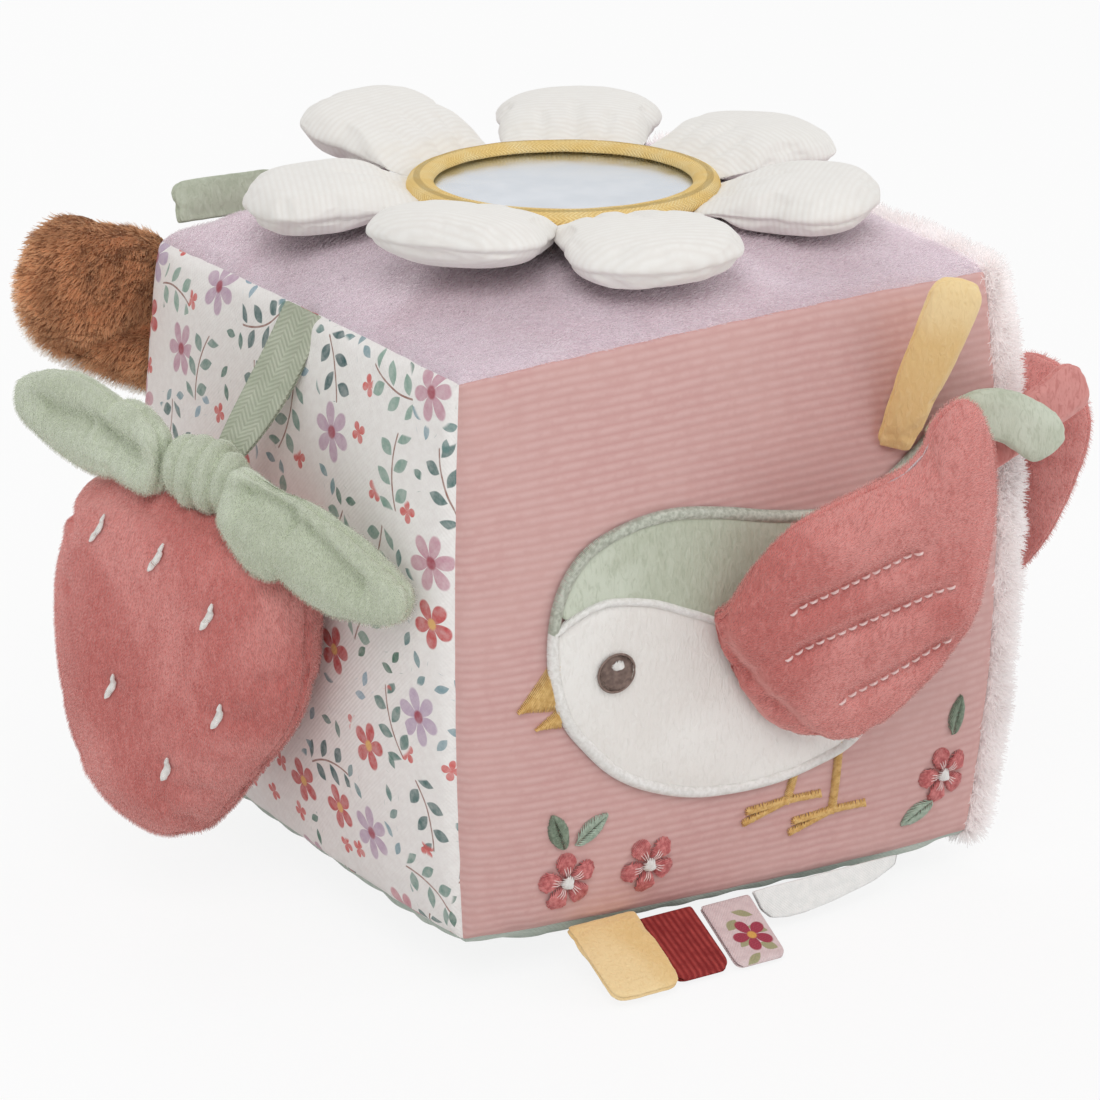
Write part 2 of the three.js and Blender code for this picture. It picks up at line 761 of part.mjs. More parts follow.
function ellipse(x, y, halfAcross, halfUp, count) {
  return Array.from({ length: count }, (_, index) => {
    const angle = 2 * Math.PI * index / count;
    return new THREE.Vector2(x + halfAcross * Math.cos(angle), y + halfUp * Math.sin(angle));
  });
}

function addBird() {
  const { front } = faces;
  const drawn = (shares) => outlineFrom(shares, bird.length, bird.height, bird.left, bird.bottom);
  const body = smoothLoop(drawn(birdShares), outlinePoints.bird);
  const seam = smoothPath(drawn(birdSeamShares), outlinePoints.birdSeam);
  const halfBorder = bird.borderWidth / 2;
  const halfSeam = bird.seamWidth / 2;
  const outside = grown(body, halfBorder);
  const inside = grown(body, -halfBorder);
  const clothArea = grown(body, -halfBorder - seat);
  const keepOff = grown(body, halfBorder + seat);

  const far = 3 * block.halfHeight;
  const above = (edge) => [...edge, new THREE.Vector2(far, far), new THREE.Vector2(-far, far)];
  const below = (edge) => [...edge, new THREE.Vector2(far, -far), new THREE.Vector2(-far, -far)];
  const clothTop = seat + bird.clothThickness;
  const patch = (cut) => laidOn(front, [clothArea], seat, clothTop, [cut]);
  piece(model, 'bird_back_patch', patch(below(shifted(seam, halfSeam + seat))), colours.sageVelour);
  piece(model, 'bird_belly_patch', patch(above(shifted(seam, -halfSeam - seat))), colours.offWhite);

  const layerTop = seat + bird.borderThickness;
  const ring = solidOf(laidOn(front, [outside], seat, layerTop, [inside]));
  const seamBand = bandAlong(seam, seam.map(() => bird.seamWidth));
  const wholeBody = solidOf(laidOn(front, [grown(body, -halfBorder / 2)], seat, layerTop));
  const line = solidOf(laidOn(front, [seamBand], seat, layerTop)).intersect(wholeBody);
  piece(model, 'bird_stitched_border', geometryOf(ring.add(line)), colours.whiteThread);

  const eyeLow = clothTop + seat;
  const eyeLoop = ellipse(eye.x, eye.z, eye.halfWidth, eye.halfHeight, outlinePoints.eye);
  const eyeThread = laidOn(front, [eyeLoop], eyeLow, eyeLow + embroideryThickness);
  piece(model, 'bird_eye', eyeThread, colours.eyeBrown);
  const stitched = (outlines) => laidOn(front, outlines, seat, seat + embroideryThickness, [keepOff]);
  piece(model, 'bird_beak_upper', stitched([triangleOf(upperBeak)]), colours.mustard);
  piece(model, 'bird_beak_lower', stitched([triangleOf(lowerBeak)]), colours.mustard);
  piece(model, 'bird_leg_front', stitched(legStrokes(frontLeg)), colours.mustard);
  piece(model, 'bird_leg_rear', stitched(legStrokes(rearLeg)), colours.mustard);
}

// The wing: two padded covers over a crackling film, sewn to the bird along the root and free elsewhere

function addWing() {
  const root = wing.edge + wing.filmThickness / 2 + wing.rootRise;
  const out = frontOut(wing.rootX, wing.rootZ) + bird.clothThickness + 2 * seat + root;
  const origin = new THREE.Vector3(wing.rootX, -out, wing.rootZ);
  const along = onPlane(wing.rootSlope, axisX, axisZ);
  const across = onPlane(wing.rootSlope + 90, axisX, axisZ);
  const hinge = frameAt(model, 'wing_hinge', origin, along, across, wing.lift);
  const drawn = (shares) => outlineFrom(shares, wing.width, wing.length, -wing.rootShare * wing.width);
  const outline = smoothLoop(drawn(wingShares), outlinePoints.wing);
  const spine = drawn(wingSpineShares);
  const filmTop = wing.filmThickness / 2;
  const inner = filmTop + seat;
  const outer = inner + wing.edge;
  const frontLevels = { low: inner, high: wing.frontPadding, lowEdge: inner, highEdge: outer };
  let cover = solidOf(padded(outline, spine, frontLevels));
  const floor = wing.frontPadding * (1 - wing.channelDepthShare);
  wingChannelShares.forEach((ends) => {
    const trench = bandAlong(drawn(ends), [wing.channelWidth, wing.channelWidth]);
    cover = cover.subtract(solidOf(prism(trench, floor, wing.frontPadding + overrun)));
  });
  piece(hinge, 'wing_front_cover', geometryOf(cover), colours.coral);
  const backLevels = { low: -wing.backPadding, high: -inner, lowEdge: -outer, highEdge: -inner };
  piece(hinge, 'wing_back_cover', padded(outline, spine, backLevels), colours.coral);
  const film = prism(drawnIn(outline, spine, wing.filmShare), -filmTop, filmTop);
  piece(hinge, 'wing_crinkle_film', geometryOf(solidOf(film)), colours.film, 0.3);
}

// The tail feathers: tabs of two layers with a round end, sewn in above the bird's tail

function addFeather(name, colour, spec, path) {
  const under = spec.over * (bird.borderThickness + seat) + spec.layer * (feather.thickness + seat);
  const out = frontOut(spec.baseX, spec.baseZ) + seat + under + spec.rootShare * feather.thickness;
  const origin = new THREE.Vector3(spec.baseX, -out, spec.baseZ);
  const lengthwise = onPlane(spec.direction, axisX, axisZ);
  const crosswise = onPlane(spec.direction - 90, axisX, axisZ);
  const hinge = frameAt(model, `${name}_hinge`, origin, crosswise, lengthwise, spec.lift);
  const widths = featherWidthShares.map((share) => share * feather.width);
  const centre = smoothPath(path.map((p) => new THREE.Vector2(p.y, p.x)), widths.length - 1);
  const outline = smoothPath(bandAlong(centre, widths), outlinePoints.feather);
  const spine = centre.slice(1, -1);
  const leaf = piece(hinge, name, evenlyPadded(outline, spine, feather.thickness, feather.edge), colour);
  leaf.rotation.y = THREE.MathUtils.degToRad(spec.turn);
}

function addFeathers() {
  const straight = (length) => outlineFrom(featherPathShares, length, length);
  addFeather('tail_feather_yellow', colours.yellowVelour, yellowFeather, straight(yellowFeather.length));
  addFeather('tail_feather_coral', colours.coral, coralFeather, straight(coralFeather.length));
  const { reach, arch, droop } = greenFeather;
  const sideways = (rise) => -rise * arch;
  const backwards = (rise) => -rise * droop;
  const arched = featherArchShares.map(([run, rise]) => (
    new THREE.Vector2(run * reach, rise < 0 ? backwards(rise) : sideways(rise))
  ));
  addFeather('tail_feather_green', colours.sageVelour, greenFeather, arched);
}

// Small embroidered flowers and leaves

function flowerOutline(x, z) {
  const steps = stitchedFlower.pointsPerPetal * stitchedFlower.petals;
  return Array.from({ length: steps }, (_, index) => {
    const angle = 2 * Math.PI * index / steps;
    const swing = Math.abs(Math.cos(stitchedFlower.petals * angle / 2));
    const radius = stitchedFlower.radius * (1 - stitchedFlower.waistShare * (1 - swing));
    return new THREE.Vector2(x - radius * Math.sin(angle), z + radius * Math.cos(angle));
  });
}

function leafOutline(leaf) {
  const along = THREE.MathUtils.degToRad(leaf.direction);
  const side = (sign) => stitchedLeaf.stations.map((share) => {
    const run = (share - 0.5) * stitchedLeaf.length;
    const rise = sign * Math.sin(Math.PI * share) * stitchedLeaf.width / 2;
    return new THREE.Vector2(
      leaf.x + run * Math.cos(along) - rise * Math.sin(along),
      leaf.z + run * Math.sin(along) + rise * Math.cos(along),
    );
  });
  return [...side(-1), ...side(1).reverse().slice(1, -1)];
}

function addEmbroidery() {
  const top = seat + embroideryThickness;
  const flowers = { left: leftFlower, middle: middleFlower, right: rightFlower };
  Object.entries(flowers).forEach(([name, at]) => {
    const geometry = laidOn(faces.front, [flowerOutline(at.x, at.z)], seat, top);
    piece(model, `embroidered_flower_${name}`, geometry, colours.threadRose);
  });
  stitchedLeaves.forEach((leaf) => {
    piece(model, leaf.name, laidOn(faces.front, [leafOutline(leaf)], seat, top), colours.threadGreen);
  });
}

// The strawberry: tape from the top seam, knot with two tied leaves, and the stuffed berry under them

// The knot is an egg with shallow wraps round it; a margin makes the larger copy that clears it
function knotBody(margin) {
  const { segments } = knot;
  const ball = new THREE.SphereGeometry(1, segments, segments / 2);
  const position = ball.getAttribute('position');
  for (let index = 0; index < position.count; index += 1) {
    const point = new THREE.Vector3().fromBufferAttribute(position, index);
    const dent = knot.wrapDepth * (0.5 + 0.5 * Math.cos(2 * Math.PI * knot.wrapTurns * point.x / 2));
    point.x *= knot.halfWidth + margin;
    point.y *= knot.halfHeight + margin - dent;
    point.z *= knot.halfDepth + margin - dent;
    position.setXYZ(index, point.x, point.y, point.z);
  }
  ball.translate(0, 0, knot.forward);
  return solidOf(ball);
}

function tiedLeafBody(side, spec, margin) {
  const start = knot.halfWidth + seat;
  const count = tiedLeafWidthShares.length;
  const path = Array.from({ length: count }, (_, index) => {
    const share = index / (count - 1);
    const rise = spec.rise * Math.sin(share * Math.PI / 2);
    return new THREE.Vector2(side * (start + share * tiedLeaf.length), rise);
  });
  const widths = tiedLeafWidthShares.map((share) => share * tiedLeaf.width + 2 * margin);
  const outline = smoothPath(bandAlong(path, widths), outlinePoints.tiedLeaf);
  const [thickness, edge] = [tiedLeaf.thickness + 2 * margin, tiedLeaf.edge + 2 * margin];
  const geometry = evenlyPadded(outline, path.slice(1, -1), thickness, edge);
  const lean = new THREE.Matrix4().makeRotationY(side * THREE.MathUtils.degToRad(spec.swingOut));
  return solidOf(geometry.translate(0, 0, tiedLeaf.forward).applyMatrix4(lean));
}

function addStrawberry() {
  const { knotX, knotY, knotZ } = berry;
  const rightwards = onPlane(-90 + berry.turn, axisX, axisY);
  const centre = new THREE.Vector3(knotX, knotY, knotZ);
  const hanger = frameAt(model, 'strawberry_frame', centre, rightwards, axisZ);
  const drawn = (shares) => outlineFrom(shares, berry.width, berry.height, berry.left, berry.bottom);
  const outline = smoothLoop(drawn(berryShares), outlinePoints.berry);
  const spine = drawn(berrySpineShares);
  const body = evenlyPadded(outline, spine, berry.thickness, berry.edge).translate(0, 0, -berry.sink);
  const leftClear = tiedLeafBody(-1, leftLeaf, seat);
  const rightClear = tiedLeafBody(1, rightLeaf, seat);
  const stuffed = solidOf(body).subtract(leftClear).subtract(rightClear).subtract(knotBody(seat));
  piece(hanger, 'strawberry_body', geometryOf(stuffed), colours.coral);
  piece(hanger, 'strawberry_knot', geometryOf(knotBody(0)), colours.sageVelour);
  const leafClearOfKnot = (leaf) => geometryOf(leaf.subtract(knotBody(seat)));
  const [left, right] = [tiedLeafBody(-1, leftLeaf, 0), tiedLeafBody(1, rightLeaf, 0)];
  piece(hanger, 'strawberry_leaf_left', leafClearOfKnot(left), colours.sageVelour);
  piece(hanger, 'strawberry_leaf_right', leafClearOfKnot(right), colours.sageVelour);
}

// The tape runs from the top seam down to the back of the knot, narrowing where it is gathered
function tapeEnds() {
  const out = rimOut(tape.startY, halfDepth) + 2 * seat + tape.thickness / 2;
  const start = new THREE.Vector3(-out, tape.startY, rimZ(-halfWidth, tape.startY, halfDepth, 1));
  const rearOfKnot = onPlane(berry.turn, axisX, axisY);
  const endZ = berry.knotZ + knot.halfHeight * tape.endRiseShare;
  const end = new THREE.Vector3(berry.knotX, berry.knotY, endZ);
  end.addScaledVector(rearOfKnot, knot.halfDepth - knot.forward + seat);
  return { start, end };
}

function addTape() {
  const { start, end } = tapeEnds();
  const run = new THREE.Vector3().subVectors(end, start);
  const sideways = new THREE.Vector3().crossVectors(run, axisY).cross(run).normalize();
  const points = [];
  const triangles = [];
  for (let step = 0; step <= tape.steps; step += 1) {
    const share = step / tape.steps;
    const out = new THREE.Vector3().crossVectors(run, sideways).normalize();
    const centre = start.clone().addScaledVector(run, share);
    centre.addScaledVector(out, -tape.sag * Math.sin(Math.PI * share));
    const halfTape = THREE.MathUtils.lerp(tape.width, tape.neckWidth, share ** tape.gather) / 2;
    [[-1, -1], [1, -1], [1, 1], [-1, 1]].forEach(([across, deep]) => {
      const corner = centre.clone().addScaledVector(sideways, across * halfTape);
      points.push(corner.addScaledVector(out, deep * tape.thickness / 2));
    });
  }
  for (let step = 0; step < tape.steps; step += 1) {
    for (let side = 0; side < 4; side += 1) {
      const [a, b] = [4 * step + side, 4 * step + (side + 1) % 4];
      triangles.push(a, b, b + 4, a, b + 4, a + 4);
    }
  }
  const last = 4 * tape.steps;
  triangles.push(0, 2, 1, 0, 3, 2, last, last + 1, last + 2, last, last + 2, last + 3);
  piece(model, 'strawberry_tape', geometryOf(solidOf(geometryFrom(points, triangles))), colours.tapeGreen);
}

// The fur tail: a brown front and a white back sewn edge to edge, standing off the back panel

function addTail() {
  const out = frontOut(tail.rootX, tail.rootZ) + seat + tail.frontPadding;
  const origin = new THREE.Vector3(tail.rootX, out, tail.rootZ);
  const hinge = frameAt(model, 'tail_hinge', origin, minusX, axisZ);
  const mirrored = ([across, up]) => new THREE.Vector2(
    -(tail.left + across * tail.width) + tail.rootX,
    tail.bottom + up * tail.height - tail.rootZ,
  );
  const outline = smoothLoop(tailShares.map(mirrored), outlinePoints.tail);
  const spine = tailSpineShares.map(mirrored);
  const inner = seat / 2;
  const outer = inner + tail.edge;
  const brown = { low: -tail.frontPadding, high: -inner, lowEdge: -outer, highEdge: -inner };
  piece(hinge, 'tail_brown_front', padded(outline, spine, brown), colours.brownFur, 1);
  const white = { low: inner, high: tail.backPadding, lowEdge: inner, highEdge: outer };
  const whiteOutline = grown(outline, tail.whiteMargin);
  piece(hinge, 'tail_white_back', padded(whiteOutline, spine, white), colours.whiteFur, 1);
}

// Tabs sewn into the seams: a flat folded ribbon with two round corners

function tabOutline(width, length, slant) {
  const shape = new THREE.Shape();
  const radius = Math.min(tab.edgeRadius, tab.mostRadiusShare * width);
  const [left, right] = [slant - width / 2, slant + width / 2];
  shape.moveTo(-width / 2, 0);
  shape.lineTo(width / 2, 0);
  shape.lineTo(right, length - radius);
  shape.quadraticCurveTo(right, length, right - radius, length);
  shape.lineTo(left + radius, length);
  shape.quadraticCurveTo(left, length, left, length - radius);
  return shape.getPoints(tab.curvePoints);
}

function ribbon(width, length, slant, thickness) {
  return geometryOf(solidOf(prism(tabOutline(width, length, slant), -thickness / 2, thickness / 2)));
}

function addBottomTab(name, spec, colour) {
  const angle = THREE.MathUtils.degToRad(spec.drop);
  const outwards = new THREE.Vector3(0, -Math.cos(angle), -Math.sin(angle));
  const seamZ = rimZ(spec.x, spec.x, halfWidth, -1);
  const origin = new THREE.Vector3(spec.x, -rimOut(spec.x, halfWidth), seamZ);
  origin.z += spec.layer * (tab.thickness + seat);
  origin.addScaledVector(outwards, spec.rootGaps * seat);
  const hinge = frameAt(model, `${name}_hinge`, origin, minusX, outwards);
  piece(hinge, name, ribbon(spec.width, spec.length, spec.slant, tab.thickness), colour);
}

function addTabs() {
  addBottomTab('bottom_tab_yellow', yellowTab, colours.yellowVelour);
  addBottomTab('bottom_tab_dark_red', darkRedTab, colours.darkRed);
  addBottomTab('bottom_tab_printed', printedTab, colours.printedRibbon);

  const tilt = THREE.MathUtils.degToRad(label.tilt);
  const downwards = new THREE.Vector3(0, -Math.sin(tilt), -Math.cos(tilt));
  const labelOut = rimOut(label.left, halfWidth) + 2 * seat;
  const labelZ = rimZ(label.left, label.left, halfWidth, -1);
  const labelOrigin = new THREE.Vector3(label.left, -labelOut, labelZ);
  const labelHinge = frameAt(model, 'blank_label_hinge', labelOrigin, axisX, downwards.negate());
  const labelLoop = smoothPath(outlineFrom(labelShares, label.width, label.drop), outlinePoints.label);
  const ribbonEnd = geometryOf(solidOf(prism(labelLoop, 0, label.thickness)));
  piece(labelHinge, 'blank_label', ribbonEnd, colours.whiteThread, 0.6);

  const lean = THREE.MathUtils.degToRad(backTab.lean);
  const upwards = new THREE.Vector3(0, Math.sin(lean), Math.cos(lean));
  const backOut = rimOut(backTab.x, halfWidth);
  const backOrigin = new THREE.Vector3(backTab.x, backOut, rimZ(backTab.x, backTab.x, halfWidth, 1));
  backOrigin.addScaledVector(upwards, 3 * seat);
  const backHinge = frameAt(model, 'back_tab_hinge', backOrigin, axisX, upwards);
  const loop = ribbon(backTab.width, backTab.length, 0, backTab.thickness);
  piece(backHinge, 'back_tab', loop, colours.sageVelour);
}

// The butterfly on the fluffy side: a sewn-on body with two padded wings hinged along it

function addButterfly() {
  const { bodyWidth, bodyLength, bodyThickness, wingLength, wingHeight, edge } = butterfly;
  const out = frontOut(butterfly.y, butterfly.z) + seat;
  const centre = new THREE.Vector3(out, butterfly.y, butterfly.z);
  const flat = frameAt(model, 'butterfly_frame', centre, axisY, axisZ);
  const body = ellipse(0, 0, bodyWidth / 2, bodyLength / 2, outlinePoints.butterflyBody);
  const spineEnd = (bodyLength - bodyWidth) / 2;
  const spine = [new THREE.Vector2(0, -spineEnd), new THREE.Vector2(0, spineEnd)];
  const swelling = { low: 0, high: bodyThickness, lowEdge: 0, highEdge: edge };
  piece(flat, 'butterfly_body', padded(body, spine, swelling), colours.sageVelour);

  [['butterfly_wing_front', -1], ['butterfly_wing_rear', 1]].forEach(([name, side]) => {
    const root = centre.clone().addScaledVector(axisY, side * (bodyWidth / 2 + butterfly.rootGap));
    root.addScaledVector(axisX, edge / 2 + butterfly.rootRise);
    const along = axisZ.clone().multiplyScalar(-side);
    const across = axisY.clone().multiplyScalar(side);
    const hinge = frameAt(model, `${name}_hinge`, root, along, across, butterfly.lift);
    const place = ([out, up]) => new THREE.Vector2(-side * up * wingHeight, out * wingLength);
    const outline = smoothLoop(butterflyWingShares.map(place), outlinePoints.butterflyWing);
    const geometry = evenlyPadded(outline, butterflySpineShares.map(place), butterfly.wingThickness, edge);
    piece(hinge, name, geometry, colours.coral);
  });
}

addBlock();
addDaisy();
addBird();
addWing();
addFeathers();
addEmbroidery();
addStrawberry();
addTape();
addTail();
addTabs();
addButterfly();

export default model;
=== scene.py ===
# %% [markdown]
# A soft activity block for a baby: a stuffed cube of six different cloths, with a daisy
# round a mirror on top, a padded bird's wing on the front, a strawberry on a tape at the left,
# a fur tail at the back, a butterfly at the right and small tabs in the seams.
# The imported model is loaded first. It is the frame that every piece rides on, and the
# box that the finished cloth is measured against at the end.

# %% Load the frame
from contextlib import contextmanager
from functools import partial

import json
import math
import random

import bmesh
import bpy
from mathutils import Matrix, Vector, noise
from mathutils.bvhtree import BVHTree

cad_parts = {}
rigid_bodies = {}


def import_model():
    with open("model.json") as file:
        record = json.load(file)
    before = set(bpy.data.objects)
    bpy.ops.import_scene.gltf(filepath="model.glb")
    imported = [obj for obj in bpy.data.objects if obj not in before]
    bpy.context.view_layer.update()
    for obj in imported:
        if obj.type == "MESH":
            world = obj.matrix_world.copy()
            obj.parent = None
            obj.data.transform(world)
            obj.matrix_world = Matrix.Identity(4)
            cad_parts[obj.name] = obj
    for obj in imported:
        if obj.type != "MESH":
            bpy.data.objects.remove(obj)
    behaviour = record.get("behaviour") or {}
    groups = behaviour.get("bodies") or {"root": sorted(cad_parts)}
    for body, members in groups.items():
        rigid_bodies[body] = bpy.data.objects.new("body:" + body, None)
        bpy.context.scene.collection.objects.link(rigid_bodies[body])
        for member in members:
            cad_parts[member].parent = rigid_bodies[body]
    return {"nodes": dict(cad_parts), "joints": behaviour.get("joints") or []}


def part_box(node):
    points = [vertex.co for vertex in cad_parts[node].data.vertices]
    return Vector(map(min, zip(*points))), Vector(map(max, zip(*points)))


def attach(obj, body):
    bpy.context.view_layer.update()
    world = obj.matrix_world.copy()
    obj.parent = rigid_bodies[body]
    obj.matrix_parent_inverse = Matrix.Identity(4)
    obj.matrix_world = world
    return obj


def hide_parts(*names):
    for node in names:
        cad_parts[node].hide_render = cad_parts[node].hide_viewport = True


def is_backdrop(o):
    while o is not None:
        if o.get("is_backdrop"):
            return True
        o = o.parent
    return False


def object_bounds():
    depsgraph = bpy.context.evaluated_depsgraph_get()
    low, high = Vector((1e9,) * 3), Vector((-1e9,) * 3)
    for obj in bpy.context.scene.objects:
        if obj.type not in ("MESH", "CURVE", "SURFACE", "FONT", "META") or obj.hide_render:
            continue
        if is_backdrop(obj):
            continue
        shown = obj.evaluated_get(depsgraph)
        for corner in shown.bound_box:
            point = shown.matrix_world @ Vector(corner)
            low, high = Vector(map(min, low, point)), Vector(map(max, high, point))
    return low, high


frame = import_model()
cad_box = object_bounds()
scene = bpy.context.scene
MM = 0.001
BLOCK = "stuffed_block"

# %% [markdown]
# The camera stands to the left of the front and a little above the block, far off with a long
# lens, so that the seams of the cube stay nearly parallel. It is placed by two angles and a
# distance, because those three can be read off the seams one at a time.

# %% Camera
CAMERA = {"azimuth": -31.84, "elevation": 19.07, "distance": 1.02974, "lens": 136.81}
CAMERA_AIM = Vector((-0.00378, 0, 0.07601))


def add_camera():
    azimuth, elevation = math.radians(CAMERA["azimuth"]), math.radians(CAMERA["elevation"])
    level = math.cos(elevation)
    back = Vector((math.sin(azimuth) * level, -math.cos(azimuth) * level, math.sin(elevation)))
    data = bpy.data.cameras.new("camera")
    data.lens = CAMERA["lens"]
    camera = bpy.data.objects.new("camera", data)
    scene.collection.objects.link(camera)
    camera.location = CAMERA_AIM + back * CAMERA["distance"]
    camera.rotation_mode = "QUATERNION"
    camera.rotation_quaternion = (-back).to_track_quat("-Z", "Y")
    scene.camera = camera
    print("camera at", [round(x, 3) for x in camera.location])


add_camera()

# %% [markdown]
# Materials are node trees, and a few short helpers keep them readable: add() makes a node with
# its inputs filled or linked, calc() a Math node, mixed() a colour mix, and mapped() a Map Range.
# Where a group is mostly sums, do() is calc() on that group's own tree.

# %% Node helpers


def made_node(tree, kind, inputs, settings):
    node = tree.nodes.new(kind)
    for key, value in settings.items():
        setattr(node, key, value)
    for key, value in dict(inputs).items():
        if isinstance(value, bpy.types.NodeSocket):
            tree.links.new(value, node.inputs[key])
        else:
            node.inputs[key].default_value = value
    return node


def add(tree, kind, inputs=(), **settings):
    return made_node(tree, "ShaderNode" + kind, inputs, settings)


def calc(tree, operation, *values, clamp=False):
    inputs = dict(enumerate(values))
    return add(tree, "Math", inputs, operation=operation, use_clamp=clamp).outputs[0]


def vector_calc(tree, operation, *values, output=0):
    return add(tree, "VectorMath", dict(enumerate(values)), operation=operation).outputs[output]


def mixed(tree, factor, first, second, blend="MIX"):
    inputs = {0: factor, 6: first, 7: second}
    return add(tree, "Mix", inputs, data_type="RGBA", blend_type=blend).outputs[2]


def mapped(tree, value, low, high, to_low=0.0, to_high=1.0):
    inputs = {"Value": value, "From Min": low, "From Max": high, "To Min": to_low, "To Max": to_high}
    return add(tree, "MapRange", inputs, interpolation_type="SMOOTHSTEP").outputs["Result"]


def noise_at(tree, vector, scale, detail=2.0, roughness=0.5, distortion=0.0):
    inputs = {"Vector": vector, "Scale": scale, "Detail": detail}
    inputs.update({"Roughness": roughness, "Distortion": distortion})
    return add(tree, "TexNoise", inputs).outputs[0]


def blank_material(name):
    material = bpy.data.materials.new(name)
    material.use_nodes = True
    material.node_tree.nodes.clear()
    return material, material.node_tree


def finished(tree, shader):
    add(tree, "OutputMaterial", {"Surface": shader.outputs[0]})


def cloth_map(tree):
    """The piece's own map, laid out in metres."""
    return add(tree, "UVMap", uv_map="cloth").outputs[0]


def tinted(tree, tone, mask, share, colour):
    """The tone drawn a share of the way to a colour where the mask is 1."""
    return mixed(tree, calc(tree, "MULTIPLY", mask, share), tone, colour)


def paint(red, green, blue, alpha=1.0):
    """A colour as the eye reads it on a screen, 0 to 255, turned into the shader's own scale."""

    def linear(value):
        share = value / 255
        return share / 12.92 if share <= 0.04045 else ((share + 0.055) / 1.055) ** 2.4

    return (linear(red), linear(green), linear(blue), alpha)


def shader_group(name, inputs, outputs):
    tree = bpy.data.node_groups.new(name, "ShaderNodeTree")
    for label, kind, value in inputs:
        socket = tree.interface.new_socket(label, in_out="INPUT", socket_type="NodeSocket" + kind)
        if value is not None:
            socket.default_value = value
    for label, kind in outputs:
        tree.interface.new_socket(label, in_out="OUTPUT", socket_type="NodeSocket" + kind)
    return tree, tree.nodes.new("NodeGroupInput").outputs, tree.nodes.new("NodeGroupOutput").inputs


def place(tree, group, inputs=()):
    """A node group set into a material, with its inputs filled or linked."""
    return add(tree, "Group", inputs, node_tree=group).outputs


# %% [markdown]
# The room is a pale floor and three large soft lamps. The floor and the world look white to the
# camera and to shiny things, while the light on the block stays at a level where a cloth renders
# about as its colour is written. The floor keeps the block's soft shadow.

# %% Floor, world and lamps
FLOOR_SIZE = 6.0
FLOOR_WHITE = 0.87
WORLD_LIGHT = 0.55
LAMPS = [
    ("key", (-0.9, -1.3, 1.7), 1.3, 16.0),
    ("fill", (1.5, -1.2, 0.9), 1.4, 7.0),
    ("rim", (0.3, 1.6, 1.5), 1.2, 7.0),
]


def seen_directly(tree):
    """1 where the camera, a reflection or a clear part looks straight at it."""
    path = add(tree, "LightPath").outputs
    plain = calc(tree, "MAXIMUM", path["Is Camera Ray"], path["Is Glossy Ray"])
    return calc(tree, "MAXIMUM", plain, path["Is Transmission Ray"])


def add_floor():
    bm = bmesh.new()
    bmesh.ops.create_grid(bm, x_segments=1, y_segments=1, size=FLOOR_SIZE / 2)
    mesh = bpy.data.meshes.new("floor")
    bm.to_mesh(mesh)
    bm.free()
    floor = bpy.data.objects.new("floor", mesh)
    scene.collection.objects.link(floor)
    material, tree = blank_material("pale_floor")
    cloth = add(tree, "BsdfDiffuse", {"Color": paint(240, 240, 240)})
    glow = add(tree, "Emission", {"Color": (1, 1, 1, 1), "Strength": 1.0})
    share = calc(tree, "MULTIPLY", seen_directly(tree), FLOOR_WHITE)
    both = add(tree, "MixShader", {0: share, 1: cloth.outputs[0], 2: glow.outputs[0]})
    finished(tree, both)
    mesh.materials.append(material)
    floor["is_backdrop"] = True


def add_world():
    world = bpy.data.worlds.new("studio")
    scene.world = world
    world.use_nodes = True
    tree = world.node_tree
    tree.nodes.clear()
    light = add(tree, "Background", {"Color": (1, 1, 1, 1), "Strength": WORLD_LIGHT})
    white = add(tree, "Background", {"Color": (1, 1, 1, 1), "Strength": 1.0})
    both = add(tree, "MixShader", {0: seen_directly(tree), 1: light.outputs[0], 2: white.outputs[0]})
    add(tree, "OutputWorld", {"Surface": both.outputs[0]})


def add_lamp(name, location, size, power):
    data = bpy.data.lights.new(name, "AREA")
    data.shape = "DISK"
    data.size = size
    data.energy = power
    lamp = bpy.data.objects.new(name, data)
    scene.collection.objects.link(lamp)
    lamp.location = location
    aim = CAMERA_AIM - Vector(location)
    lamp.rotation_mode = "QUATERNION"
    lamp.rotation_quaternion = aim.to_track_quat("-Z", "Y")


add_floor()
add_world()
for lamp_spec in LAMPS:
    add_lamp(*lamp_spec)
scene.view_settings.view_transform = "Standard"
print("floor, world and", len(LAMPS), "lamps")
